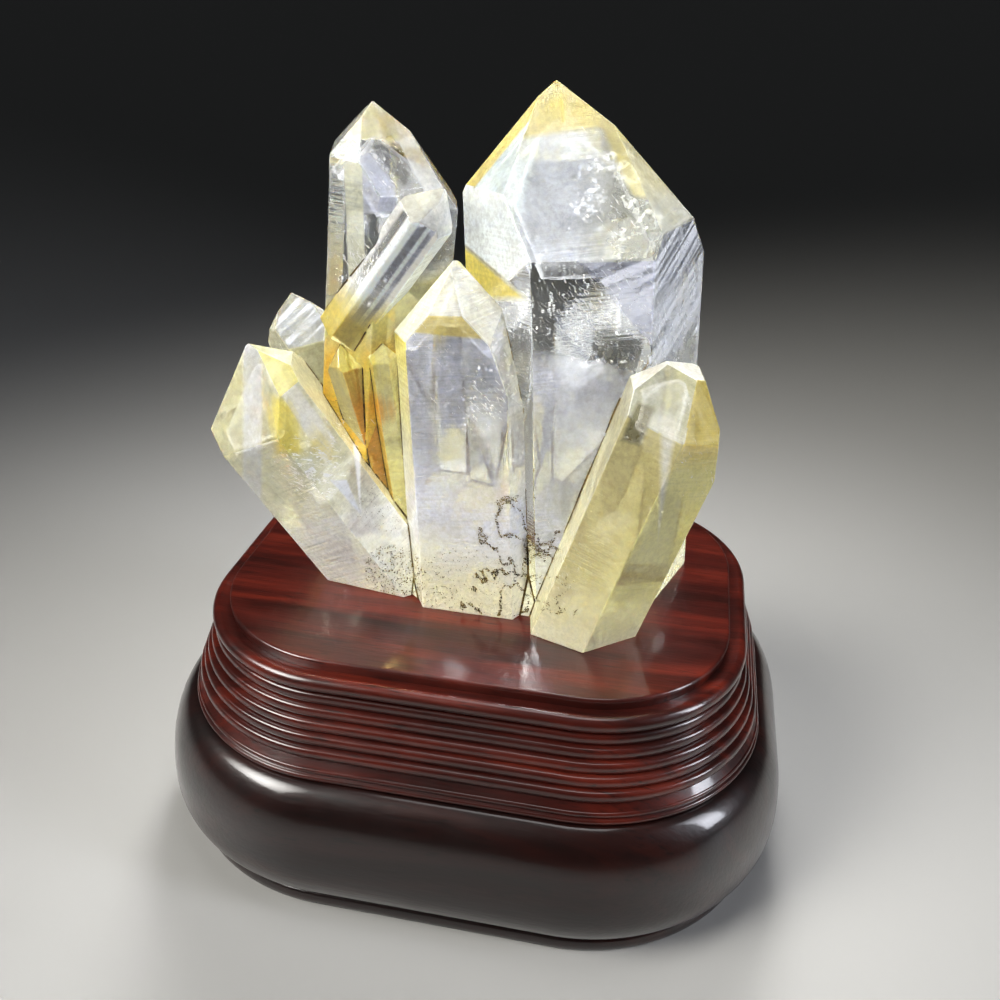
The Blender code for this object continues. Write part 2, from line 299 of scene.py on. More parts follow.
top_bm = moulded_tier(top_profile)
smooth_but_sharp(top_bm, SHARP_ANGLE)
top_wood = lacquered_wood("lacquered_rosewood", "#180604", "#3a100a", "#5c1d11")
stand_panel = object_from(top_bm, "stand_panel", top_wood)
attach(stand_panel, "root")
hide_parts("stand_top")


# Quartz cluster. Natural crystals grown from one root, clear at the points and milky near the
# root, with faces etched by fine growth lines and an iron stain from pale yellow to orange.
# Each is a six-sided prism with six end faces, and they pass through each other.

REST_HEIGHT = STAND_HEIGHT + 0.3
ROOT_DEPTH = 14.0
CAP_SLOPE = math.radians(38.2)
EDGE_WEAR = 0.16
SNAP = 1e-7
CLEAR, ICE, PEARL, LAVENDER = "#f6f8fb", "#effbfa", "#f7f6f0", "#dfe2f3"
CREAM, PALE, STRAW, YELLOW = "#f0eed8", "#edeac4", "#eae29c", "#e8d972"
GOLD, ORANGE, OLIVE = "#d9b552", "#d79c3c", "#d2cb8a"

# foot, tip, turn, sides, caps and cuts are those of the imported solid, in millimetres over the
# panel and in degrees. own is how milky the crystal is, from 0 to 1, and its colour. faces gives
# the same for one face: s0 to s5 are its sides, c0 to c5 its end faces and x0, x1 its cuts. A
# zone is the part of some faces beyond all its planes, blended over a width in millimetres.
CRYSTALS = {
    "tall_right": {
        "foot": (17, 6, 0), "tip": (10.6, 8, 103.0), "turn": 11,
        "sides": (22, 24, 25, 22, 17.5, 17.5), "caps": (0, -6.5, 0, -5, -3.5, -5.0),
        "own": (0.04, CLEAR),
        "faces": {
            "c0": (0.4, "#e6eaf3"), "c1": (0.3, "#e4e3cf"), "c5": (0.56, "#e6f2f2"),
            "s0": (0.0, CLEAR), "s1": (0.16, "#e3e6ea"), "s5": (0.03, CLEAR),
        },
        "zones": [
            ("c0", [((20, -6, 84), (1, 0, 0))], 9, 0.1, "#d3d4c6"),
            ("c0", [((5.2, -10, 82.5), (-1, 0, 0.14))], 3, 0.72, ICE),
            ("c0", [((10, 2, 95.4), (-0.16, 0, 1))], 1.0, 0.5, "#ece0a8"),
            ("c1", [((16, 2, 90), (0.3, 0, 1))], 3.0, 0.5, "#ebe3b4"),
            ("c5", ["c4 2.6"], 0.6, 0.6, "#e9d98c"),
            ("c0", ["c1 1.8", ((10, 2, 86), (0, 0, 1))], 0.8, 0.45, "#e9dfa6"),
            ("s0", [((17.1, -14, 76.2), (0.72, 0, 0.70))], 0.3, 0.14, "#dadded"),
            ("s0", [((17.9, -14, 56.5), (-0.2, 0, -1))], 5, 0.55, "#e6e8f0"),
            ("s5", [((-8.7, 5, 73.4), (0.26, 0, 0.97)), ((4, -9.4, 70), (-0.74, 0, 0.67))],
             0.5, 0.8, ICE),
            ("s5", [((-8.7, 5, 73.0), (-0.26, 0, -0.97)), ((-6, 1, 62), (-0.4, 0, 0.9))],
             1.5, 0.7, "#eddc72"),
        ],
    },
    "tall_left": {
        "foot": (-33, 0, 0), "tip": (-24, -2, 99.8), "turn": 45,
        "sides": (11.5, 17.5, 12, 12, 7.2, 9), "caps": (0, -4.5, 0, -2, 0, -2),
        "own": (0.04, CLEAR),
        "faces": {
            "c0": (0.03, CLEAR), "c4": (0.1, PEARL), "c5": (0.12, ICE),
            "s5": (0.03, CLEAR), "s0": (0.06, CLEAR),
        },
        "zones": [
            ("c0 c5", [((-22, -2, 94.2), (0, 0, 1))], 2, 0.45, "#f0ebcf"),
            ("c0", ["c1 3.0"], 0.6, 0.42, PEARL),
            ("c0 c5", [((-20.9, -5.6, 92.7), (0.15, -0.11, -0.98)),
                       ((-17.3, -4, 90.5), (-0.84, -0.31, -0.44)),
                       ((-16.2, -6.3, 86.9), (-0.89, -0.17, 0.42)),
                       ((-19.8, -7.9, 89.1), (0.70, 0.33, 0.63))], 0.4, 0.0, "#8f8f8c"),
            ("c0 s5 s0", [((-23.8, -10.3, 91.1), (0.48, 0, -0.88)),
                          ((-20.4, -8.8, 88.8), (-0.71, -0.33, -0.62)),
                          ((-17.5, -10.1, 83.8), (-0.96, -0.28, 0.02)),
                          ((-21.2, -12.2, 81.5), (-0.11, 0.19, 0.98)),
                          ((-25.5, -11, 85.6), (0.95, 0.31, -0.08))], 0.6, 0.5, "#dcdfec"),
            ("s5", [((-27.2, -11, 80), (1, 0, 0)), ((-23.4, -12, 80), (-1, 0, 0)),
                    ((-25, -11, 90.5), (0.3, 0, -1)), ((-25, -11, 64), (0, 0, 1))],
             0.3, 0.6, "#e9ead8"),
            ("s5 s0", [((-25, -11, 65), (0.3, 0, -0.95))], 4, 0.55, STRAW),
            ("s5 s0", [((-25, -11, 55), (0.2, 0, -1))], 7, 0.74, "#e8c24a"),
        ],
    },
    "slim_leaning": {
        "foot": (-29.7, -7, 56.2), "tip": (-7.4, -11.3, 86.9), "turn": 20,
        "sides": (5, 5, 5, 5, 5, 5), "caps": (0, 1, 0, 0, 0, 1), "ends_at_foot": True,
        "own": (0.12, CLEAR),
        "faces": {
            "s0": (0.22, LAVENDER), "s5": (0.1, CLEAR), "s1": (0.8, ICE),
            "c0": (0.6, PEARL), "c5": (0.4, "#e9e8dc"), "c4": (0.3, PEARL), "c1": (0.6, PEARL),
        },
        "zones": [
            # Painted highlights: these bright milky strips along the edges of s5 and s0 stand in for the
            # light lines that the edges catch.
            ("s5", ["s4 1.8"], 0.8, 0.6, PEARL),
            ("s5", ["s0 1.5"], 0.5, 0.85, ICE),
            ("s0", ["s1 2.6"], 0.3, 0.8, ICE),
            ("s0", ["s1 1.9"], 0.3, 0.35, LAVENDER),
            ("s0", ["s5 1.1"], 0.4, 0.95, ICE),
            ("s0", ["s1 1.1"], 0.4, 0.9, PEARL),
            ("s0 s5 s1", [((-24, 0, 62), (-0.6, 0, -0.8))], 6, 0.55, "#e8d36e"),
        ],
    },
    "short_left": {
        "foot": (-29, 2, 0), "tip": (-44.5, 1, 61), "turn": 20,
        "sides": (8, 8, 9, 8, 6.5, 6.5), "caps": (0, -3, 0, -2, 1, -2),
        "own": (0.22, PALE),
        "faces": {
            "c0": (0.22, "#edf1fb"), "c5": (0.4, CREAM), "c1": (0.5, PEARL),
            "s5": (0.34, CREAM), "s0": (0.45, PALE), "s1": (0.6, STRAW),
        },
        "zones": [("s0 s1", [((-34, -4, 44), (0.5, 0, -0.86))], 6, 0.6, YELLOW)],
    },
    "low_left": {
        "foot": (-14.1, -4.7, 0), "tip": (-46, -16, 54.5), "turn": -15,
        "sides": (12, 8, 5, 12, 17, 18.2), "caps": (0, -1, 0, -1, -2.5, -12.8),
        "cuts": [((-17.1, -18, 31.5), (0.80, -0.55, 0.22)), ((-14, -14, 10), (1, 0, 0))],
        "own": (0.28, PALE),
        "faces": {
            "c0": (0.36, "#dfddc4"), "c1": (0.62, STRAW), "c2": (0.55, PALE),
            "s0": (0.46, CREAM), "s1": (0.5, "#ecebd6"), "s2": (0.5, "#e2dab0"),
            "x0": (0.5, "#ecebd6"),
        },
        "zones": [
            # Partly real milk near the root and partly painted light: this lower zone is whiter than its
            # milk alone, to brighten a side that faces down, away from the lamps.
            ("s0 s1 x0", [((-28, -20, 22), (0.25, 0, -0.97))], 14, 0.7, "#f8f7ee"),
            ("s0 s1", [((-28.6, -21.3, 20.9), (0.36, -0.37, -0.85))], 0.6, 0.75, "#f8f7ee"),
            ("c0 s0", [((-42.2, -23.3, 39.3), (-0.92, -0.39, 0.08)),
                       ((-47.5, -19.7, 42.1), (0.91, 0.40, -0.09))], 0.7, 0.6, "#e2e4ea"),
            ("s1 c0 s0", [((-37.2, -21.8, 46.6), (-0.03, -0.42, -0.91)),
                          ((-34.5, -21.4, 40.4), (-0.92, -0.38, 0)),
                          ((-36.1, -24.6, 35.7), (-0.11, 0.42, 0.90)),
                          ((-39.2, -24, 41.5), (0.92, 0.40, -0.01))], 2.0, 0.62, YELLOW),
            ("s1 s0", [((-37.6, -20.4, 48.8), (0.19, -0.32, -0.93)),
                       ((-32.4, -18.6, 42.8), (-0.71, -0.50, -0.49)),
                       ((-29.6, -18.9, 34.3), (-0.92, -0.16, 0.36)),
                       ((-34.6, -21.4, 40.8), (0.74, 0.51, 0.43))], 0.6, 0.78, "#f1f0ea"),
            ("s1 s2", [((-30.4, -1, 32.7), (0.10, -0.39, -0.91)),
                       ((-24.6, -15.7, 29.6), (-0.95, -0.31, 0.03)),
                       ((-25.3, -16.4, 29.8), (0.93, 0.36, 0.06))], 0.5, 0.95, "#ffffff"),
            ("s1 s0", [((-28.1, -19.5, 28.6), (0.11, -0.44, -0.89)),
                       ((-25.2, -18.3, 24.1), (-0.83, -0.46, -0.30)),
                       ((-26.7, -19.5, 24.6), (0.63, 0.54, 0.55))], 0.5, 0.8, "#eceef2"),
        ],
    },
    "front_middle": {
        "foot": (-1, -12, 0), "tip": (-6, -8, 74), "turn": 0,
        "sides": (8, 13, 14, 12, 12, 12), "caps": (0, 2.5, 1, 0, 0, 0),
        "cuts": [((1.2, -8, 67.6), (0.896, -0.240, 0.375))],
        "own": (0.15, CLEAR),
        "faces": {
            "c0": (0.34, "#ecebe0"), "c5": (0.64, "#eeedd6"), "c1": (0.34, PEARL),
            "s0": (0.24, LAVENDER), "s5": (0.6, "#efe9b4"), "s1": (0.46, PEARL),
            "x0": (0.24, "#e3e4e6"),
        },
        "zones": [
            ("s5", [((-16, -12, 52), (0, 0, 1))], 10, 0.7, "#ecdf7c"),
            ("s0", [((-2, -17, 60.6), (0, 0, 1))], 0.5, 0.5, "#d9c983"),
            ("s0 s1 s5", [((-2, -17, 33), (0, 0, -1))], 16, 0.78, "#e6e8f2"),
            ("s0 s1 s5", [((-2, -17, 14), (0, 0, -1))], 16, 0.9, "#ece8d2"),
        ],
    },
    "front_right": {
        "foot": (21.3, -16, -2), "tip": (40.6, -14, 61), "turn": -20,
        "sides": (10.5, 11.5, 12, 10, 9, 9), "caps": (0, -1.5, 0, -2, 0, -2),
        "cuts": [((39.5, -14, 57.6), (0.30, 0, 0.95)), ((46.8, -13, 38), (1, 0, 0.03))],
        # This crystal's olive colours are darker than the others': partly its own iron tint, partly
        # painted shade for the side away from the key light.
        "own": (0.34, OLIVE),
        "faces": {
            "s0": (0.7, "#bfb688"), "s1": (0.76, OLIVE), "s5": (0.5, "#cfcaad"),
            "c0": (0.34, "#d2d3cb"), "c1": (0.5, "#d3c27a"), "c5": (0.6, PEARL), "x0": (0.7, PEARL),
            "x1": (0.5, "#e4ddb6"),
        },
        "zones": [
            ("s1", [((42, -20, 48), (0.2, 0, 0.97))], 14, 0.66, GOLD),
            ("s0 s1", [((25, -26, 9), (-0.2, 0, -0.97))], 14, 0.84, "#d6d1b8"),
            ("c0 s0 s1", [((32.6, -21.3, 52.6), (-0.24, -0.37, -0.90)),
                          ((33.4, -24.3, 49.6), (-0.97, 0.08, 0.22)),
                          ((30.7, -23.9, 45.9), (0.20, 0.41, 0.89)),
                          ((30, -23.1, 49.9), (0.96, -0.08, -0.27))], 0.8, 0.25, "#918c79"),
            ("c0 s0 s1", [((37.1, -22.8, 51.5), (-0.35, -0.36, -0.86)),
                          ((38, -26.8, 42.6), (-1, 0.03, 0.05)),
                          ((36.5, -26.2, 43), (1, 0.04, 0.09))], 1.0, 0.7, "#d6d5cd"),
        ],
    },
    "back_right": {
        "foot": (12, 12, 0), "tip": (23, 31, 68), "turn": 170,
        "sides": (10, 11, 12, 11, 10, 9), "caps": (0, -3, 0, -2, 0, -4),
        "own": (0.1, CLEAR),
        "faces": {"c0": (0.5, LAVENDER), "c1": (0.3, PEARL), "s1": (0.3, LAVENDER)},
        "zones": [("s0 s1 s5", [((14, 24, 30), (0, 0, -1))], 16, 0.6, CREAM)],
    },
    "back_left": {
        "foot": (-20, 10, 0), "tip": (-27, 28, 58), "turn": 150,
        "sides": (8, 9, 9, 8, 8, 8), "caps": (0, -2, 0, -3, 0, -1),
        "own": (0.14, CLEAR),
        "faces": {"c0": (0.4, PALE), "c1": (0.5, PEARL), "s0": (0.2, LAVENDER)},
        "zones": [("s0 s1 s5", [((-22, 18, 26), (0, 0, -1))], 14, 0.6, PALE)],
    },
    "back_middle": {
        "foot": (0, 14, 0), "tip": (-3, 35, 42), "turn": 195,
        "sides": (7, 7, 8, 7, 7, 7), "caps": (0, -1, 0, -2, 0, -2),
        "own": (0.24, PALE), "faces": {"c0": (0.55, STRAW), "s0": (0.4, PALE)},
        "zones": [("s0 s1 s5", [((0, 20, 16), (0, 0, -1))], 12, 0.66, YELLOW)],
    },
    "back_corner": {
        "foot": (22, 14, 0), "tip": (35, 27, 44), "turn": 140,
        "sides": (7, 8, 7, 7, 8, 7), "caps": (0, -2, 0, -2, 0, -3),
        "own": (0.18, PALE), "faces": {"c0": (0.4, PEARL), "c1": (0.5, CREAM)}, "zones": [],
    },
    "back_low": {
        "foot": (8, 18, 0), "tip": (13, 41, 24), "turn": 180,
        "sides": (5, 5.5, 5, 5, 5, 5), "caps": (0, -1, 0, -1, 0, -1),
        "own": (0.3, PALE), "faces": {}, "zones": [],
    },
    "gap_left": {
        "foot": (-20, -4, 10), "tip": (-29.5, -9.5, 55), "turn": 32,
        "sides": (4, 4.5, 4, 4, 4, 4), "caps": (0, -1, 0, -1, 0, -1),
        "own": (0.45, "#d8b95a"),
        "faces": {"s0": (0.6, ORANGE), "c0": (0.5, YELLOW), "s5": (0.5, "#cdbf7c")},
        "zones": [],
    },
    "gap_left_slim": {
        "foot": (-17, -6, 8), "tip": (-21.5, -10, 56), "turn": 10,
        "sides": (3, 3, 3, 3, 3, 3), "caps": (0, -0.5, 0, -0.5, 0, -1),
        "own": (0.45, STRAW), "faces": {"s5": (0.6, GOLD)}, "zones": [],
    },
    "foot_left": {
        "foot": (-20, -2, 0), "tip": (-34, 12, 30), "turn": 60,
        "sides": (4.5, 5, 5, 4, 4, 5), "caps": (0, -1, 0, -1, 0, -1),
        "own": (0.3, PALE), "faces": {}, "zones": [],
    },
    "foot_back": {
        "foot": (-8, 16, 0), "tip": (-15, 35, 22), "turn": 205,
        "sides": (4, 4, 4.5, 4, 4, 4), "caps": (0, -1, 0, -1, 0, -1),
        "own": (0.3, STRAW), "faces": {}, "zones": [],
    },
    "foot_right": {
        "foot": (26, 2, 0), "tip": (42, 10, 27), "turn": 100,
        "sides": (5, 5, 5, 5, 5, 5), "caps": (0, -1, 0, -1, 0, -2),
        "own": (0.34, OLIVE), "faces": {}, "zones": [],
    },
}

# The root mass, by the direction, distance and slope of each of its side faces.
ROOT_CENTRE = (1.0, 2.0)
ROOT_TOP = 26.0
ROOT_FACES = (
    (0, 20.0, 20), (52, 27.0, 34), (98, 30.0, 30), (140, 27.0, 36),
    (182, 24.0, 28), (228, 28.0, 34), (268, 27.0, 26), (322, 23.0, 24),
)


def metres(point):
    return Vector(point) * MM


def over_panel(point):
    """A point given over the panel, in metres over the table."""
    return metres((point[0], point[1], point[2] + STAND_HEIGHT))


def crystal_axis(shape):
    return (over_panel(shape["tip"]) - over_panel(shape["foot"])).normalized()


def crystal_faces(shape, inset=0.0, drop=0.0):
    """The point and outward direction of each face, moved inwards by inset, and the tip by drop."""
    foot, tip, axis = over_panel(shape["foot"]), over_panel(shape["tip"]), crystal_axis(shape)
    front = Vector((0, -1, 0))
    front = (front - axis * front.dot(axis)).normalized()
    right = axis.cross(front)
    faces = {}
    for k in range(6):
        angle = math.radians(shape["turn"] + 60 * k)
        out = front * math.cos(angle) + right * math.sin(angle)
        faces[f"s{k}"] = (tip + out * (shape["sides"][k] - inset) * MM, out)
        cap = out * math.cos(CAP_SLOPE) + axis * math.sin(CAP_SLOPE)
        faces[f"c{k}"] = (tip - axis * (shape["caps"][k] + drop) * MM, cap)
    for k, (point, direction) in enumerate(shape.get("cuts", [])):
        outward = Vector(direction).normalized()
        faces[f"x{k}"] = (over_panel(point) - outward * inset * MM, outward)
    below = 0.0 if shape.get("ends_at_foot") else ROOT_DEPTH
    faces["end"] = (foot - axis * (below - inset) * MM, -axis)
    return faces


def root_faces():
    centre = metres((*ROOT_CENTRE, REST_HEIGHT))
    up = Vector((0, 0, 1))
    faces = {
        "under": (metres((0, 0, REST_HEIGHT - ROOT_DEPTH)), -up),
        "top": (metres((0, 0, REST_HEIGHT + ROOT_TOP)), up),
    }
    for turn, distance, slope in ROOT_FACES:
        angle, tilt = math.radians(turn), math.radians(slope)
        out = Vector((math.sin(angle), -math.cos(angle), 0))
        side = out * math.cos(tilt) + up * math.sin(tilt)
        faces[f"side_{turn}"] = (centre + out * distance * MM, side)
    return faces


def everything(bm):
    return bm.verts[:] + bm.edges[:] + bm.faces[:]


def cut_solid(faces, middle):
    """A block cut by flat faces, each closed with one new face."""
    bm = bmesh.new()
    bmesh.ops.create_cube(bm, size=0.4)
    bmesh.ops.translate(bm, verts=bm.verts, vec=middle)
    for point, direction in faces.values():
        bmesh.ops.bisect_plane(
            bm, geom=everything(bm), dist=SNAP, plane_co=point, plane_no=direction, clear_outer=True,
        )
        rim = [edge for edge in bm.edges if edge.is_boundary]
        if rim:
            bmesh.ops.edgeloop_fill(bm, edges=rim)
    bmesh.ops.recalc_face_normals(bm, faces=bm.faces)
    return bm


def zone_planes(planes, faces):
    """The planes of a zone in metres: given as they are, or as a face's name and how far inside it."""
    found = []
    for plane in planes:
        if isinstance(plane, str):
            name, inset = plane.split()
            point, direction = faces[name]
            found.append((point - direction * float(inset) * MM, direction))
        else:
            point, direction = plane
            found.append((over_panel(point), Vector(direction).normalized()))
    return found


def mark_growth(bm, faces, axis, own, face_marks, zones):
    """A UV map with V along the crystal, in centimetres, and a colour that holds stain and milk."""
    growth = bm.loops.layers.uv.new("growth")
    tint = bm.loops.layers.float_color.new("tint")
    ready = [
        (names.split(), zone_planes(planes, faces), width * MM, Vector((*srgb(stain)[:3], milk)))
        for names, planes, width, milk, stain in zones
    ]
    for _, planes, width, _ in ready:
        for point, direction in planes:
            for side in (-0.5, 0.5):
                bmesh.ops.bisect_plane(
                    bm, geom=everything(bm), dist=SNAP,
                    plane_co=point + direction * width * side, plane_no=direction,
                )
    for face in bm.faces:
        name = max(faces, key=lambda key: faces[key][1].dot(face.normal))
        milk, stain = face_marks.get(name, own)
        across = axis.cross(face.normal)
        across = across.normalized() if across.length > 1e-3 else Vector((1, 0, 0))
        for loop in face.loops:
            place = loop.vert.co
            value = Vector((*srgb(stain)[:3], milk))
            for names, planes, width, mark in ready:
                if name in names:
                    depth = min((place - point).dot(direction) for point, direction in planes)
                    value = value.lerp(mark, min(max(depth / width + 0.5, 0.0), 1.0))
            loop[growth].uv = (place.dot(across) * 100, place.dot(axis) * 100)
            loop[tint] = value


def worn_crystal(name, faces, middle, axis, own, face_marks=None, zones=()):
    bm = cut_solid(faces, middle)
    bmesh.ops.bevel(
        bm, geom=bm.edges[:], offset=EDGE_WEAR * MM, offset_type="OFFSET", segments=1,
        profile=0.5, affect="EDGES", clamp_overlap=True, material=-1,
    )
    bmesh.ops.recalc_face_normals(bm, faces=bm.faces)
    mark_growth(bm, faces, axis, own, face_marks or {}, zones)
    return object_from(bm, name)


def rest_cutter():
    bm = bmesh.new()
    bmesh.ops.create_cube(bm, size=0.4)
    bmesh.ops.translate(bm, verts=bm.verts, vec=metres((0, 0, REST_HEIGHT - 200.0)))
    up = Vector((0, 0, 1))
    mark_growth(bm, {"top": (Vector(), up)}, up, (0.6, PALE), {}, ())
    return object_from(bm, "rest_cutter")


def joined(first, others, cutter):
    """One mesh of all crystals, cut flat where they rest."""
    for other in others:
        modifier = first.modifiers.new("join", "BOOLEAN")
        modifier.operation = "UNION"
        modifier.solver = "EXACT"
        modifier.object = other
    modifier = first.modifiers.new("cut_flat", "BOOLEAN")
    modifier.operation = "DIFFERENCE"
    modifier.solver = "EXACT"
    modifier.object = cutter
    evaluated = first.evaluated_get(bpy.context.evaluated_depsgraph_get())
    mesh = bpy.data.meshes.new_from_object(evaluated)
    for helper in (first, cutter, *others):
        bpy.data.objects.remove(helper)
    return mesh


# Where flecks crowd and where the stain lies deepest: centres over the panel and radii, in
# millimetres.
FLECK_SPOTS = (
    ((22, -5.5, 84), 10), ((19, -13, 62), 12), ((33, -8, 62), 9), ((-33, -22, 34), 13),
    ((1, -17, 47), 9), ((-19, -9, 88), 7), ((-24, -11, 70), 9), ((30, 30, 60), 12),
    ((20, 28, 80), 12), ((-30, 20, 60), 12), ((38, -20, 40), 7),
)
YELLOW_SPOTS = (
    ((10, 4, 101), 8), ((-6, -6, 72), 4), ((-24, -11, 62), 12),
    ((-25, -12, 50), 14), ((-38, -23, 43), 8), ((-33, -18, 36), 10), ((-8, -14, 60), 7),
    ((38, -18, 44), 13), ((-48, -14, 40), 8), ((0, 36, 30), 14),
)
ORANGE_SPOTS = (
    ((-22, -11, 42), 8), ((44, -17, 47), 6), ((-5, -5, 75), 3),
    ((6, 0, 98), 3), ((2, 30, 12), 8),
)


def nearness(material, place, spots):
    """How near a point is to the nearest of the spots: 1 at its centre, 0 beyond its radius."""
    total = None
    for centre, radius in spots:
        away = add_node(
            material, "ShaderNodeVectorMath", {"operation": "DISTANCE", 1: over_panel(centre)},
            {0: place},
        )
        near = add_node(
            material, "ShaderNodeMapRange",
            {"interpolation_type": "SMOOTHSTEP", "From Min": radius * MM, "From Max": 0.0},
            {"Value": away.outputs["Value"]},
        ).outputs["Result"]
        if total is not None:
            near = add_node(
                material, "ShaderNodeMath", {"operation": "MAXIMUM"}, {0: total, 1: near}
            ).outputs["Value"]
        total = near
    return total


def rock_crystal():
    """Quartz: colourless, glassy and see-through, cloudy where tiny bubbles crowd near the root."""
    material, shader = new_material("natural_quartz")
    links = material.node_tree.links
    place = add_node(material, "ShaderNodeTexCoord").outputs["Object"]
    tint = add_node(material, "ShaderNodeAttribute", {"attribute_name": "tint"})
    growth = add_node(material, "ShaderNodeUVMap", {"uv_map": "growth"}).outputs["UV"]
    clouds = add_node(
        material, "ShaderNodeTexNoise",
        {"Scale": scale_for(9.0), "Detail": 8.0, "Roughness": 0.68, "Distortion": 1.3},
        {"Vector": place},
    ).outputs["Fac"]

    # Iron stain gathers where crystals meet and in runs along them, about 2 mm wide: pale yellow,
    # and orange in the deepest gaps.
    run_place = add_node(
        material, "ShaderNodeMapping", {"vector_type": "TEXTURE", "Scale": (0.22, 1.8, 1.0)},
        {"Vector": growth},
    ).outputs["Vector"]
    runs = add_node(
        material, "ShaderNodeTexNoise",
        {"noise_dimensions": "2D", "Scale": 1.0, "Detail": 4.0, "Roughness": 0.65,
         "Distortion": 0.4},
        {"Vector": run_place},
    ).outputs["Fac"]
    colour = tint.outputs["Color"]
    stained = []
    for spots, stain, strength in ((YELLOW_SPOTS, YELLOW, 0.85), (ORANGE_SPOTS, ORANGE, 0.9)):
        total = nearness(material, place, spots)
        patchy = add_node(
            material, "ShaderNodeMath", {"operation": "MULTIPLY"}, {0: total, 1: runs}
        ).outputs["Value"]
        amount = add_node(
            material, "ShaderNodeMapRange",
            {"From Min": 0.22, "From Max": 0.56, "To Min": 0.0, "To Max": strength},
            {"Value": patchy},
        ).outputs["Result"]
        stained.append(amount)
        colour = add_node(
            material, "ShaderNodeMix", {"data_type": "RGBA", 7: srgb(stain)},
            {0: amount, 6: colour},
        ).outputs[2]

    # Growth lines run across each crystal, 0.4 to 1 mm apart, and show in patches.
    stretched = add_node(
        material, "ShaderNodeMapping",
        {"vector_type": "TEXTURE", "Scale": (2.5, 0.06, 1.0),
         "Rotation": (0.0, 0.0, math.radians(4))},
        {"Vector": growth},
    ).outputs["Vector"]
    lines = add_node(
        material, "ShaderNodeTexNoise",
        {"noise_dimensions": "2D", "Scale": 1.0, "Detail": 2.0, "Roughness": 0.5},
        {"Vector": stretched},
    ).outputs["Fac"]
    patches = add_node(
        material, "ShaderNodeTexNoise",
        {"Scale": scale_for(22.0), "Detail": 1.0, "Roughness": 0.5}, {"Vector": place},
    ).outputs["Fac"]
    where = add_node(
        material, "ShaderNodeMapRange",
        {"From Min": 0.46, "From Max": 0.60, "To Min": 0.05, "To Max": 1.0}, {"Value": patches},
    ).outputs["Result"]
    steps = add_node(
        material, "ShaderNodeMath", {"operation": "MULTIPLY"}, {0: lines, 1: where}
    ).outputs["Value"]

    # Bubbles and healed cracks lie in slanting white flecks, 0.2 to 2 mm long, in clusters.
    slanted = add_node(
        material, "ShaderNodeMapping",
        {"vector_type": "TEXTURE", "Scale": (0.05, 0.17, 1.0),
         "Rotation": (0.0, 0.0, math.radians(42))},
        {"Vector": growth},
    ).outputs["Vector"]
    fleck_noise = add_node(
        material, "ShaderNodeTexNoise",
        {"noise_dimensions": "2D", "Scale": 1.0, "Detail": 3.0, "Roughness": 0.7, "Distortion": 0.8},
        {"Vector": slanted},
    ).outputs["Fac"]
    crowd = add_node(
        material, "ShaderNodeMath", {"operation": "MULTIPLY_ADD", 1: 0.5}, {0: patches, 2: fleck_noise}
    ).outputs["Value"]
    crowd = add_node(
        material, "ShaderNodeMath", {"operation": "MULTIPLY_ADD", 1: 0.15},
        {0: nearness(material, place, FLECK_SPOTS), 2: crowd},
    ).outputs["Value"]
    flecks = add_node(
        material, "ShaderNodeMapRange",
        {"From Min": 1.0, "From Max": 1.04, "To Min": 0.0, "To Max": 0.9}, {"Value": crowd},
    ).outputs["Result"]
    colour = add_node(
        material, "ShaderNodeMix", {"data_type": "RGBA", 7: srgb("#fdfdfd")},
        {0: flecks, 6: colour},
    ).outputs[2]
    links.new(colour, shader.inputs["Base Color"])

    # Milk: what the crystal and the face have of their own, in clouds and in growth bands.
    cloudy = add_node(
        material, "ShaderNodeMapRange",
        {"From Min": 0.38, "From Max": 0.62, "To Min": 0.5, "To Max": 1.35}, {"Value": clouds},
    ).outputs["Result"]
    banded = add_node(
        material, "ShaderNodeMath", {"operation": "MULTIPLY_ADD", 1: 0.7, 2: -0.12}, {0: steps}
    ).outputs["Value"]
    drawn_out = add_node(
        material, "ShaderNodeMapping",
        {"vector_type": "TEXTURE", "Scale": (0.35, 2.6, 1.0)}, {"Vector": growth},
    ).outputs["Vector"]
    streaks = add_node(
        material, "ShaderNodeTexNoise",
        {"noise_dimensions": "2D", "Scale": 1.0, "Detail": 3.0, "Roughness": 0.6},
        {"Vector": drawn_out},
    ).outputs["Fac"]
    streaky = add_node(
        material, "ShaderNodeMapRange",
        {"From Min": 0.36, "From Max": 0.64, "To Min": 0.86, "To Max": 1.12}, {"Value": streaks},
    ).outputs["Result"]
    cloudy = add_node(
        material, "ShaderNodeMath", {"operation": "MULTIPLY"}, {0: cloudy, 1: streaky}
    ).outputs["Value"]
    # The milkier a place is, the more even its milk.
    cloudy = add_node(
        material, "ShaderNodeMix", {3: 1.0}, {0: tint.outputs["Alpha"], 2: cloudy}
    ).outputs[0]
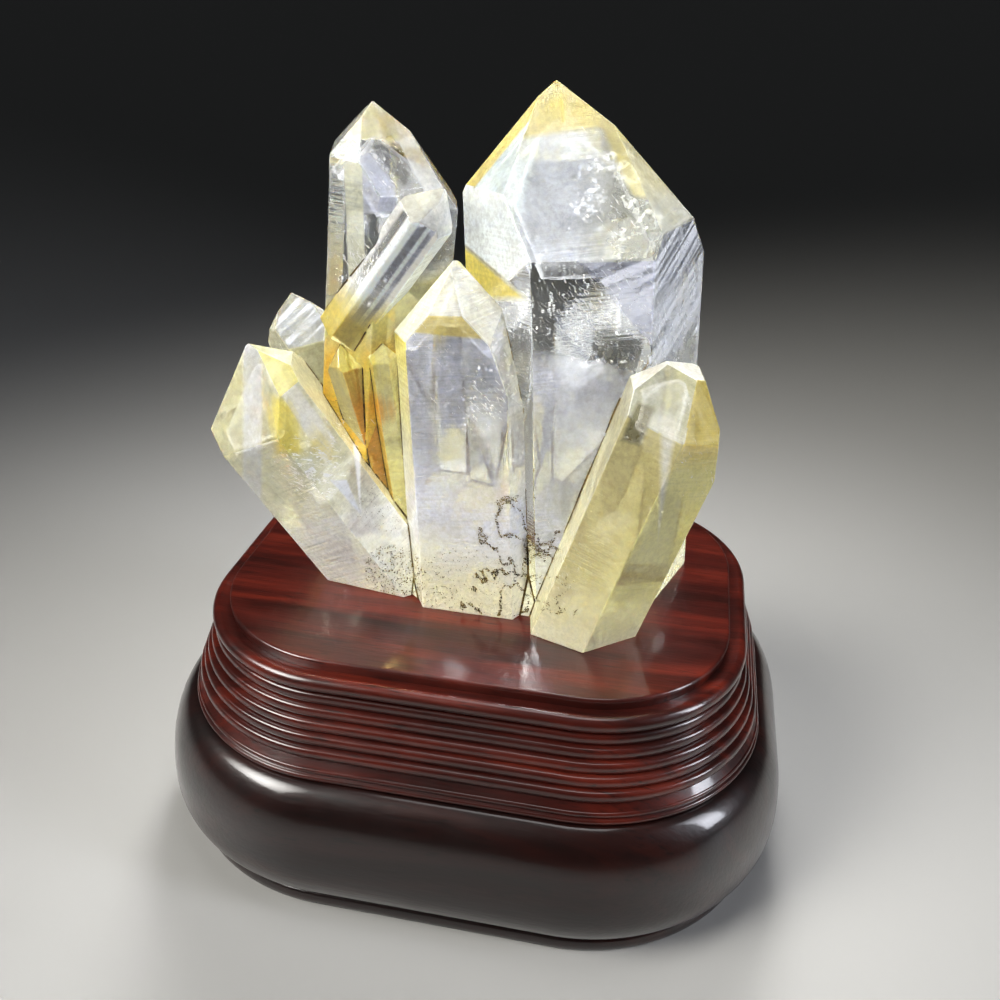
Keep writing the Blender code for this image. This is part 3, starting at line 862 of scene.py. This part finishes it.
    # Frost of bubbles about 0.05 mm wide, drawn at 0.5 mm, the finest that shows.
    frost_noise = add_node(
        material, "ShaderNodeTexNoise",
        {"Scale": scale_for(1.1), "Detail": 3.0, "Roughness": 0.75}, {"Vector": place},
    ).outputs["Fac"]
    frost = add_node(
        material, "ShaderNodeMapRange",
        {"From Min": 0.4, "From Max": 0.62, "To Min": 0.82, "To Max": 1.14},
        {"Value": frost_noise},
    ).outputs["Result"]
    cloudy = add_node(
        material, "ShaderNodeMath", {"operation": "MULTIPLY"}, {0: cloudy, 1: frost}
    ).outputs["Value"]
    level = add_node(
        material, "ShaderNodeMath", {"operation": "MULTIPLY"},
        {0: tint.outputs["Alpha"], 1: cloudy},
    ).outputs["Value"]
    bands = add_node(
        material, "ShaderNodeMath", {"operation": "MULTIPLY_ADD"}, {0: banded, 1: level, 2: level}
    ).outputs["Value"]
    milk = add_node(
        material, "ShaderNodeMath", {"operation": "MAXIMUM"}, {0: bands, 1: flecks}
    ).outputs["Value"]
    for amount, weight in zip(stained, (0.22, 0.3)):
        milk = add_node(
            material, "ShaderNodeMath", {"operation": "MULTIPLY_ADD", 1: weight},
            {0: amount, 2: milk},
        ).outputs["Value"]
    clear = add_node(
        material, "ShaderNodeMath", {"operation": "SUBTRACT", 0: 1.0, "use_clamp": True}, {1: milk}
    ).outputs["Value"]
    links.new(clear, shader.inputs["Transmission Weight"])
    shader.inputs["Subsurface Weight"].default_value = 1.0
    shader.inputs["Subsurface Radius"].default_value = (1.0, 0.95, 0.85)
    shader.inputs["Subsurface Scale"].default_value = 0.0014

    line_bump = add_node(
        material, "ShaderNodeBump", {"Strength": 0.45, "Distance": 0.0002}, {"Height": steps}
    ).outputs["Normal"]
    etching = add_node(
        material, "ShaderNodeTexNoise",
        {"Scale": scale_for(2.6), "Detail": 3.0, "Roughness": 0.6}, {"Vector": place},
    ).outputs["Fac"]
    etch_bump = add_node(
        material, "ShaderNodeBump", {"Strength": 0.2, "Distance": 0.00008},
        {"Height": etching, "Normal": line_bump},
    ).outputs["Normal"]
    links.new(etch_bump, shader.inputs["Normal"])
    roughness = add_node(
        material, "ShaderNodeMapRange",
        {"From Min": 0.42, "From Max": 0.75, "To Min": 0.01, "To Max": 0.16}, {"Value": etching},
    ).outputs["Result"]
    links.new(roughness, shader.inputs["Roughness"])
    shader.inputs["IOR"].default_value = 1.544
    body = add_node(
        material, "ShaderNodeVolumeAbsorption", {"Color": srgb("#fafaf4"), "Density": 14.0}
    )
    links.new(body.outputs["Volume"], material.node_tree.nodes["Material Output"].inputs["Volume"])
    return material


root_middle = metres((*ROOT_CENTRE, REST_HEIGHT))
root_shape = worn_crystal("root_mass", root_faces(), root_middle, Vector((0, 0, 1)), (0.62, CREAM))
crystal_shapes = []
for name, shape in CRYSTALS.items():
    middle = (over_panel(shape["foot"]) + over_panel(shape["tip"])) / 2
    crystal_shapes.append(worn_crystal(
        "crystal_" + name, crystal_faces(shape), middle, crystal_axis(shape),
        shape["own"], shape["faces"], shape["zones"],
    ))
cluster_mesh = joined(root_shape, crystal_shapes, rest_cutter())
cluster_mesh.name = "crystals"
cluster_mesh.materials.clear()
cluster_mesh.materials.append(rock_crystal())
crystals = bpy.data.objects.new("crystals", cluster_mesh)
bpy.context.scene.collection.objects.link(crystals)
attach(crystals, "root")
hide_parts("quartz_cluster")


# Flecks and veils inside the crystals. Healed cracks and bubble trails: thin films of gas, each a
# fraction of a millimetre across, that lie along a plane and flash white in the light.

random.seed(31)
INSIDE_MARGIN = 0.7

# crystal, centre over the panel, direction the plane faces, radius and flecks in the plane, and
# the largest fleck, in millimetres.
VEILS = (
    ("tall_right", (23, -2.4, 85.7), (0.15, -0.77, 0.62), 9, 560, 1.0),
    ("tall_right", (18, -7, 64), (-0.35, -0.7, 0.6), 14, 620, 0.5),
    ("tall_right", (10, -4, 70), (-0.6, -0.5, 0.5), 10, 260, 0.4),
    ("tall_right", (27, 4, 60), (0.5, -0.3, 0.8), 12, 320, 0.45),
    ("tall_right", (16, 12, 45), (0.2, 0.8, 0.5), 17, 420, 0.5),
    ("tall_right", (24, 22, 70), (0.4, 0.6, 0.5), 12, 300, 0.45),
    ("tall_left", (-20, -6, 86), (0.3, -0.7, 0.6), 7, 150, 0.4),
    ("tall_left", (-23, -7, 70), (-0.3, -0.7, 0.5), 9, 260, 0.4),
    ("tall_left", (-30, 1, 60), (-0.7, -0.4, 0.4), 9, 220, 0.4),
    ("tall_left", (-22, 7, 74), (0.3, 0.8, 0.4), 8, 180, 0.4),
    ("front_middle", (0, -12, 54), (0.2, -0.8, 0.4), 10, 300, 0.4),
    ("front_middle", (5, -13, 42), (-0.3, -0.8, 0.4), 10, 280, 0.4),
    ("front_middle", (-6, -11, 36), (0.5, -0.6, 0.5), 10, 240, 0.4),
    ("low_left", (-36, -18, 34), (0.5, -0.6, 0.6), 10, 280, 0.5),
    ("low_left", (-28, -16, 24), (-0.3, -0.8, 0.4), 10, 260, 0.45),
    ("front_right", (35, -16, 40), (0.4, -0.7, 0.5), 10, 180, 0.4),
    ("front_right", (29, -18, 24), (-0.3, -0.8, 0.4), 9, 160, 0.4),
    ("short_left", (-41, 0, 48), (0.4, -0.7, 0.5), 6, 90, 0.4),
    ("back_right", (20, 27, 50), (0.3, 0.7, 0.5), 9, 260, 0.45),
    ("back_left", (-25, 24, 44), (-0.3, 0.7, 0.5), 8, 220, 0.4),
    ("back_corner", (31, 24, 34), (0.6, 0.5, 0.5), 7, 130, 0.4),
    ("back_middle", (-2, 31, 30), (0.2, 0.8, 0.5), 7, 130, 0.4),
)


def gas_film():
    """White, and glossier where a film lies flat."""
    material, shader = new_material("gas_film_in_healed_cracks")
    place = add_node(material, "ShaderNodeTexCoord").outputs["Object"]
    thin = add_node(
        material, "ShaderNodeTexNoise", {"Scale": scale_for(1.5), "Detail": 1.0}, {"Vector": place}
    )
    colour = ramp_between(material, thin.outputs["Fac"], [(0.35, "#dfe3ea"), (0.6, "#ffffff")])
    material.node_tree.links.new(colour, shader.inputs["Base Color"])
    rough = add_node(
        material, "ShaderNodeMapRange", {"To Min": 0.2, "To Max": 0.6},
        {"Value": thin.outputs["Fac"]},
    )
    material.node_tree.links.new(rough.outputs["Result"], shader.inputs["Roughness"])
    return material


def gather(whole, batch):
    """Moves a batch of small shapes into the whole, because adding to a large mesh is slow."""
    mesh = bpy.data.meshes.new("batch")
    batch.to_mesh(mesh)
    whole.from_mesh(mesh)
    bpy.data.meshes.remove(mesh)
    batch.clear()


fleck_bm, veil_bm = bmesh.new(), bmesh.new()
for crystal, centre, facing, radius, count, largest in VEILS:
    walls = crystal_faces(CRYSTALS[crystal]).values()
    turn = Vector(facing).to_track_quat("Z", "Y").to_matrix().to_4x4()
    start = Matrix.Translation(over_panel(centre)) @ turn
    for _ in range(count):
        away = radius * MM * math.sqrt(random.random())
        round_angle = random.uniform(0, math.tau)
        ripple = random.gauss(0, 0.45) * MM
        place = start @ Vector((away * math.cos(round_angle), away * math.sin(round_angle), ripple))
        crowded = noise.noise(place * scale_for(5.0)) + 0.15 * random.random()
        inside = all((place - wall).dot(out) < -INSIDE_MARGIN * MM for wall, out in walls)
        if crowded < -0.05 or not inside or place.z < (REST_HEIGHT + 4.0) * MM:
            continue
        tilt = Euler((random.gauss(0, 0.45), random.gauss(0, 0.45), random.uniform(0, 3.1)))
        size = largest * MM * (0.18 + 0.82 * random.random() ** 3)
        shape = Matrix.Diagonal((1.0, random.uniform(0.25, 0.8), 1.0, 1.0))
        bmesh.ops.create_circle(
            veil_bm, segments=5, radius=size, cap_ends=True,
            matrix=Matrix.Translation(place) @ turn @ tilt.to_matrix().to_4x4() @ shape,
        )
    gather(fleck_bm, veil_bm)
veil_bm.free()
flecks = object_from(fleck_bm, "flecks_in_crystals", gas_film())
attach(flecks, "root")


# Phantoms. Growth once stopped and dust settled on the end faces, and the crystal then grew on
# over it, so a faint milky copy of the point shows a few millimetres inside.

PHANTOMS = (("tall_right", 3.5, 8.0), ("front_middle", 2.2, 5.0), ("tall_left", 2.2, 7.0),
            ("front_right", 3.0, 6.0), ("low_left", 3.0, 5.0), ("back_right", 3.0, 6.0))
PHANTOM_RIM = 0.9


def phantom_dust():
    """A veil of dust, thickest in clouds and nearly gone between them."""
    material, shader = new_material("dust_on_an_old_growth_face")
    shader.inputs["Base Color"].default_value = srgb("#f1f2f6")
    shader.inputs["Roughness"].default_value = 0.7
    place = add_node(material, "ShaderNodeTexCoord").outputs["Object"]
    clouds = add_node(
        material, "ShaderNodeTexNoise",
        {"Scale": scale_for(6.0), "Detail": 5.0, "Roughness": 0.7}, {"Vector": place},
    )
    veil = add_node(
        material, "ShaderNodeMapRange",
        {"From Min": 0.4, "From Max": 0.75, "To Min": 0.04, "To Max": 0.4},
        {"Value": clouds.outputs["Fac"]},
    )
    rim = add_node(material, "ShaderNodeAttribute", {"attribute_name": "rim"}).outputs["Fac"]
    alpha = add_node(
        material, "ShaderNodeMath", {"operation": "MULTIPLY_ADD", "use_clamp": True},
        {0: rim, 1: clouds.outputs["Fac"], 2: veil.outputs["Result"]},
    )
    material.node_tree.links.new(alpha.outputs["Value"], shader.inputs["Alpha"])
    return material


dust = phantom_dust()
for crystal, inset, drop in PHANTOMS:
    shape = CRYSTALS[crystal]
    walls = crystal_faces(shape, inset, drop)
    middle = (over_panel(shape["foot"]) + over_panel(shape["tip"])) / 2
    phantom_bm = cut_solid(walls, middle)
    caps = [walls[name][1] for name in walls if name[0] == "c"]
    gone = [f for f in phantom_bm.faces if max(f.normal.dot(cap) for cap in caps) < 0.999]
    bmesh.ops.delete(phantom_bm, geom=gone, context="FACES")
    rim = phantom_bm.verts.layers.float.new("rim")
    for vert in phantom_bm.verts:
        vert[rim] = 1.0
    outer = set(phantom_bm.verts)
    bmesh.ops.inset_individual(
        phantom_bm, faces=phantom_bm.faces[:], thickness=PHANTOM_RIM * MM, use_even_offset=True
    )
    for vert in phantom_bm.verts:
        if vert not in outer:
            vert[rim] = 0.0
    phantom = object_from(phantom_bm, "phantom_in_" + crystal, dust)
    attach(phantom, "root")


# Striated growth faces. Just under some faces an older one shows through: straight growth steps
# side by side, a few tenths of a millimetre high, that catch the light as pale stripes.

# crystal, face, how far under it in millimetres, planes that it lies beyond, turn of the stripes
STRIATED = (
    ("tall_right", "s0", 0.7, [((17.9, -14, 76.2), (0.72, 0, 0.70))], 24),
    ("tall_right", "s1", 0.7, [((36, -8, 56), (0, 0, 1))], 24),
    ("short_left", "c0", 0.6, [], 34),
    ("low_left", "c1", 0.6, [], 12),
    ("back_right", "s1", 1.0, [((20, 30, 40), (0, 0, 1))], 15),
    ("back_left", "s0", 0.8, [((-26, 26, 34), (0, 0, 1))], 12),
)


def stepped_growth():
    """White stripes, grey and clearer in between, stronger in patches."""
    material, shader = new_material("stepped_growth_face")
    steps_uv = add_node(material, "ShaderNodeUVMap", {"uv_map": "steps"}).outputs["UV"]
    drawn_out = add_node(
        material, "ShaderNodeMapping", {"vector_type": "TEXTURE", "Scale": (3.0, 0.13, 1.0)},
        {"Vector": steps_uv},
    ).outputs["Vector"]
    stripes = add_node(
        material, "ShaderNodeTexNoise",
        {"noise_dimensions": "2D", "Scale": 1.0, "Detail": 2.0, "Roughness": 0.5},
        {"Vector": drawn_out},
    ).outputs["Fac"]
    place = add_node(material, "ShaderNodeTexCoord").outputs["Object"]
    patches = add_node(
        material, "ShaderNodeTexNoise", {"Scale": scale_for(12.0), "Detail": 2.0}, {"Vector": place}
    ).outputs["Fac"]
    colour = ramp_between(material, stripes, [(0.42, "#787d88"), (0.56, "#f3f4f7")])
    material.node_tree.links.new(colour, shader.inputs["Base Color"])
    shown = add_node(
        material, "ShaderNodeMapRange",
        {"From Min": 0.32, "From Max": 0.55, "To Min": 0.35, "To Max": 1.0}, {"Value": patches},
    ).outputs["Result"]
    cover = add_node(
        material, "ShaderNodeMapRange",
        {"From Min": 0.42, "From Max": 0.56, "To Min": 0.4, "To Max": 0.9}, {"Value": stripes},
    ).outputs["Result"]
    alpha = add_node(
        material, "ShaderNodeMath", {"operation": "MULTIPLY"}, {0: shown, 1: cover}
    ).outputs["Value"]
    material.node_tree.links.new(alpha, shader.inputs["Alpha"])
    shader.inputs["Roughness"].default_value = 0.4
    return material


striated_bm = bmesh.new()
steps_layer = striated_bm.loops.layers.uv.new("steps")
for crystal, face, depth, beyond, turn in STRIATED:
    walls = crystal_faces(CRYSTALS[crystal], inset=depth, drop=depth)
    point, out = walls[face]
    axis = crystal_axis(CRYSTALS[crystal])
    across = axis.cross(out).normalized()
    up = out.cross(across).normalized()
    along = across * math.cos(math.radians(turn)) + up * math.sin(math.radians(turn))
    sheet = bmesh.new()
    flat = out.to_track_quat("Z", "Y").to_matrix().to_4x4()
    bmesh.ops.create_grid(
        sheet, x_segments=1, y_segments=1, size=0.2, matrix=Matrix.Translation(point) @ flat
    )
    cuts = [(place, direction, True) for name, (place, direction) in walls.items() if name != face]
    cuts += [(over_panel(place), Vector(direction), False) for place, direction in beyond]
    for place, direction, outer in cuts:
        bmesh.ops.bisect_plane(
            sheet, geom=everything(sheet), dist=SNAP, plane_co=place, plane_no=direction,
            clear_outer=outer, clear_inner=not outer,
        )
    sheet_layer = sheet.loops.layers.uv.new("steps")
    for sheet_face in sheet.faces:
        for loop in sheet_face.loops:
            spot = loop.vert.co
            loop[sheet_layer].uv = (spot.dot(along) * 100, spot.dot(out.cross(along)) * 100)
    gather(striated_bm, sheet)
    sheet.free()
striated = object_from(striated_bm, "striated_growth_faces", stepped_growth())
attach(striated, "root")


# Fractures. Curved cracks that opened inside the crystals and never healed: a film of air a few
# thousandths of a millimetre thick, which mirrors the light like silver and fades at its rim.

# crystal, centre over the panel, direction it faces, radius in millimetres
FRACTURES = (
    ("tall_right", (28, -1, 66), (0.45, -0.55, 0.7), 9.0),
    ("tall_right", (18, -8, 54), (-0.3, -0.5, 0.8), 7.0),
    ("tall_right", (20, 14, 84), (0.1, 0.5, 0.85), 8.0),
    ("tall_right", (2, 6, 60), (-0.6, 0.2, 0.75), 8.0),
    ("tall_left", (-25, -4, 78), (0.2, -0.6, 0.77), 6.0),
    ("tall_left", (-22, -6, 88), (0.6, -0.5, 0.62), 5.0),
    ("tall_left", (-24, 4, 66), (-0.3, 0.5, 0.8), 6.0),
    ("front_middle", (4, -12, 58), (0.5, -0.5, 0.7), 5.0),
    ("low_left", (-36, -18, 40), (0.65, -0.5, 0.6), 7.0),
    ("low_left", (-30, -17, 28), (-0.2, -0.7, 0.65), 7.0),
    ("front_right", (36, -17, 44), (0.5, -0.6, 0.62), 6.0),
    ("front_right", (29, -19, 26), (-0.4, -0.6, 0.7), 6.0),
    ("back_right", (19, 26, 46), (0.3, 0.6, 0.74), 6.0),
    ("back_left", (-24, 22, 38), (-0.4, 0.5, 0.76), 5.0),
)


def air_film():
    """Silvery and smooth at the heart of a crack, in fine ripples, and gone at its rim."""
    material, shader = new_material("air_film_in_crack")
    place = add_node(material, "ShaderNodeTexCoord").outputs["Object"]
    ripples = add_node(
        material, "ShaderNodeTexNoise",
        {"Scale": scale_for(2.0), "Detail": 5.0, "Roughness": 0.7, "Distortion": 2.0},
        {"Vector": place},
    ).outputs["Fac"]
    colour = ramp_between(material, ripples, [(0.35, "#d7dcec"), (0.65, "#ffffff")])
    material.node_tree.links.new(colour, shader.inputs["Base Color"])
    film = add_node(material, "ShaderNodeAttribute", {"attribute_name": "film"}).outputs["Fac"]
    torn = add_node(
        material, "ShaderNodeMath", {"operation": "MULTIPLY"}, {0: film, 1: ripples}
    ).outputs["Value"]
    alpha = add_node(
        material, "ShaderNodeMapRange",
        {"From Min": 0.3, "From Max": 0.62, "To Min": 0.0, "To Max": 0.7}, {"Value": torn},
    ).outputs["Result"]
    material.node_tree.links.new(alpha, shader.inputs["Alpha"])
    shader.inputs["Roughness"].default_value = 0.18
    shader.inputs["Metallic"].default_value = 0.35
    bump = add_node(
        material, "ShaderNodeBump", {"Strength": 0.5, "Distance": 0.0002}, {"Height": ripples}
    )
    material.node_tree.links.new(bump.outputs["Normal"], shader.inputs["Normal"])
    return material


film_material = air_film()
fracture_bm = bmesh.new()
film_layer = fracture_bm.verts.layers.float.new("film")
for crystal, centre, facing, radius in FRACTURES:
    walls = crystal_faces(CRYSTALS[crystal]).values()
    turn = Vector(facing).to_track_quat("Z", "Y").to_matrix().to_4x4()
    made = bmesh.ops.create_grid(
        fracture_bm, x_segments=22, y_segments=22, size=radius * MM,
        matrix=Matrix.Translation(over_panel(centre)) @ turn,
    )["verts"]
    middle = over_panel(centre)
    for vert in made:
        away = (vert.co - middle).length / (radius * MM)
        ragged = 1.0 - away + 0.5 * noise.noise(vert.co * scale_for(4.0))
        vert[film_layer] = min(max(2.2 * ragged, 0.0), 1.0)
        bow = 0.12 * away * away + 0.05 * noise.noise(vert.co * scale_for(6.0))
        vert.co -= Vector(facing).normalized() * bow * radius * MM
    outside = [v for v in made if any((v.co - wall).dot(out) > -0.4 * MM for wall, out in walls)]
    bmesh.ops.delete(fracture_bm, geom=outside, context="VERTS")
for face in fracture_bm.faces:
    face.smooth = True
fractures = object_from(fracture_bm, "fractures_in_crystals", film_material)
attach(fractures, "root")


# Earth in the seams. Clay and iron rust left from the ground, packed in the dark lines where
# crystals meet, in a crust of thin veins at the foot of the middle crystal and in black specks.

random.seed(5)
cluster_bm = bmesh.new()
cluster_bm.from_mesh(cluster_mesh)
surface = BVHTree.FromBMesh(cluster_bm)
SEAM_ANGLE = math.radians(18)
CRUMB_REACH = 0.35
# Between these places along X the front seam was kept clean by the crystals growing together.
CLEAN_SEAM_LEFT, CLEAN_SEAM_RIGHT = 8.0, 16.0
TOWARDS_VIEWER = Vector((0.12, -0.82, 0.56))

# centre over the panel, radius in millimetres, tries, crumb size, and whether it lies in veins
CRUSTS = (
    ((9.5, -16, 18), 8.5, 5200, 0.12, True), ((6, -20, 3.5), 8.0, 4600, 0.14, True),
    ((-17, -19, 7), 6.5, 520, 0.13, False), ((-10, -19, 3), 7.0, 200, 0.11, False),
    ((17, -21, 7), 6.0, 900, 0.12, True), ((-20, -20, 24), 5.0, 110, 0.09, False),
    ((-2, -21, 3), 12.0, 500, 0.08, False),
)


def dry_earth(name, dark, light):
    """Clay and rust: matt, grainy, from nearly black to ochre."""
    material, shader = new_material(name)
    place = add_node(material, "ShaderNodeTexCoord").outputs["Object"]
    grains = add_node(
        material, "ShaderNodeTexNoise",
        {"Scale": scale_for(1.2), "Detail": 3.0, "Roughness": 0.7}, {"Vector": place},
    )
    colour = ramp_between(material, grains.outputs["Fac"], [(0.38, dark), (0.62, light)])
    material.node_tree.links.new(colour, shader.inputs["Base Color"])
    bump = add_node(
        material, "ShaderNodeBump", {"Strength": 0.6, "Distance": 0.0001},
        {"Height": grains.outputs["Fac"]},
    )
    material.node_tree.links.new(bump.outputs["Normal"], shader.inputs["Normal"])
    shader.inputs["Roughness"].default_value = 0.9
    shader.inputs["Specular IOR Level"].default_value = 0.25
    return material


def crumb(bm, place, size):
    squash = Matrix.Diagonal((*[random.uniform(0.6, 1.4) for _ in range(3)], 1.0))
    turned = Euler([random.uniform(0, math.tau) for _ in range(3)]).to_matrix().to_4x4()
    where = Matrix.Translation(place) @ turned @ squash
    bmesh.ops.create_icosphere(bm, subdivisions=1, radius=size * MM, matrix=where)


earth_bm, some_bm = bmesh.new(), bmesh.new()
for edge in cluster_bm.edges:
    if len(edge.link_faces) != 2 or edge.is_convex or edge.calc_face_angle() < SEAM_ANGLE:
        continue
    start, end = edge.verts[0].co, edge.verts[1].co
    along = end - start
    steps = int(along.length / (0.9 * MM))
    for k in range(steps):
        a, b = start + along * (k / steps), start + along * ((k + 1) / steps)
        height = (a.z / MM - REST_HEIGHT) / 75.0
        clean = CLEAN_SEAM_LEFT < a.x / MM < CLEAN_SEAM_RIGHT and a.y < 0 and height > 0.2
        packed = 0.8 * noise.noise(a * scale_for(7.0)) + (0.1 if clean else 0.72) - 0.8 * height
        if packed < 0:
            continue
        turn = along.to_track_quat("Z", "Y").to_matrix().to_4x4()
        thick = (0.12 + 0.3 * min(packed, 0.8)) * MM
        bmesh.ops.create_cone(
            some_bm, segments=5, cap_ends=True, radius1=thick, radius2=thick * 0.9,
            depth=(b - a).length * 1.05, matrix=Matrix.Translation((a + b) / 2) @ turn,
        )
        if random.random() < 0.5 * packed:
            reach = Vector([random.gauss(0, CRUMB_REACH * MM) for _ in range(3)])
            crumb(some_bm, a + reach, random.uniform(0.08, 0.2))
    gather(earth_bm, some_bm)
for centre, radius, tries, size, in_veins in CRUSTS:
    turn = TOWARDS_VIEWER.to_track_quat("Z", "Y").to_matrix().to_4x4()
    for _ in range(tries):
        away = radius * MM * math.sqrt(random.random())
        angle = random.uniform(0, math.tau)
        aim = Matrix.Translation(over_panel(centre)) @ turn @ Vector(
            (away * math.cos(angle), away * math.sin(angle), 0.08)
        )
        vein = abs(noise.noise(aim * scale_for(5.5)) + 0.3 * noise.noise(aim * scale_for(1.6)))
        if in_veins and vein > 0.06 + 0.03 * random.random():
            continue
        hit = surface.ray_cast(aim, -TOWARDS_VIEWER)[0]
        if hit is not None and hit.z > (REST_HEIGHT + 0.3) * MM:
            crumb(some_bm, hit, size * random.uniform(0.5, 1.3))
    gather(earth_bm, some_bm)
some_bm.free()
cluster_bm.free()
earth = object_from(earth_bm, "earth_in_seams", dry_earth("clay_and_rust", "#1f160a", "#77602a"))
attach(earth, "root")


# Floor and light. A plain pale table, a soft gridded light from the front left, a second one from
# behind that makes the crystals glow, and weak ones from above and from the right.

def floor():
    bm = bmesh.new()
    bmesh.ops.create_grid(bm, x_segments=1, y_segments=1, size=12.0)
    material, shader = new_material("pale_table")
    shader.inputs["Base Color"].default_value = srgb("#aeadaa")
    shader.inputs["Roughness"].default_value = 0.6
    object_from(bm, "table", material)


def soft_light(name, place, aim, size, power, spread, colour):
    light = bpy.data.lights.new(name, "AREA")
    light.shape = "RECTANGLE"
    light.size, light.size_y = size
    light.energy = power
    light.spread = math.radians(spread)
    light.color = srgb(colour)[:3]
    obj = bpy.data.objects.new(name, light)
    obj.location = place
    obj.rotation_euler = (Vector(aim) - Vector(place)).to_track_quat("-Z", "Y").to_euler()
    obj.visible_camera = False
    bpy.context.scene.collection.objects.link(obj)
    return obj


floor()
soft_light("key", (-0.34, -0.24, 0.44), (0, 0, 0.11), (0.38, 0.38), 0.68, 46, "#fffdf8")
back_glow = soft_light(
    "back_glow", (-0.03, 0.36, 0.46), (0, 0.01, 0.12), (0.26, 0.26), 0.28, 36, "#ffffff"
)
back_glow.visible_glossy = False
soft_light("right_rim", (0.50, -0.10, 0.30), (0, 0, 0.10), (0.12, 0.40), 0.30, 60, "#f2f5ff")
soft_light("overhead", (0.0, 0.03, 0.62), (0, 0, 0.08), (0.30, 0.30), 0.08, 50, "#ffffff")

world = bpy.data.worlds.new("studio")
world.use_nodes = True
sky = world.node_tree.nodes.new("ShaderNodeTexCoord").outputs["Generated"]
height = world.node_tree.nodes.new("ShaderNodeSeparateXYZ")
world.node_tree.links.new(sky, height.inputs["Vector"])
dome = world.node_tree.nodes.new("ShaderNodeMapRange")
dome.inputs["To Min"].default_value = 0.034
dome.inputs["To Max"].default_value = 0.14
world.node_tree.links.new(height.outputs["Z"], dome.inputs["Value"])
backdrop = world.node_tree.nodes["Background"]
backdrop.inputs["Color"].default_value = srgb("#808386")
world.node_tree.links.new(dome.outputs["Result"], backdrop.inputs["Strength"])
bpy.context.scene.world = world

# The light goes through the crystals straight, so they glow and cast no shadow of their own.
crystals.visible_shadow = False


# Camera at the photograph's angle, from the fit of the stand's outlines.

CAMERA_PLACE = (36.39, -193.14, 178.96)
CAMERA_TURN, CAMERA_DOWN, CAMERA_ROLL = -10.02, 28.21, -1.97
camera_data = bpy.data.cameras.new("camera")
camera_data.sensor_width = 36.0
camera_data.lens = 36.0
camera = bpy.data.objects.new("camera", camera_data)
look = Matrix.Rotation(math.radians(-CAMERA_TURN), 4, "Z")
look = look @ Matrix.Rotation(math.radians(90 - CAMERA_DOWN), 4, "X")
look = look @ Matrix.Rotation(math.radians(-CAMERA_ROLL), 4, "Z")
camera.matrix_world = Matrix.Translation(metres(CAMERA_PLACE)) @ look
bpy.context.scene.collection.objects.link(camera)
bpy.context.scene.camera = camera

scene = bpy.context.scene
scene.cycles.max_bounces = 14
scene.cycles.transmission_bounces = 12
scene.cycles.transparent_max_bounces = 12
scene.cycles.caustics_refractive = False
scene.cycles.use_adaptive_sampling = True
scene.cycles.adaptive_threshold = 0.12
scene.cycles.adaptive_min_samples = 16
scene.cycles.use_denoising = True
scene.view_settings.view_transform = "Standard"
scene.view_settings.look = "None"
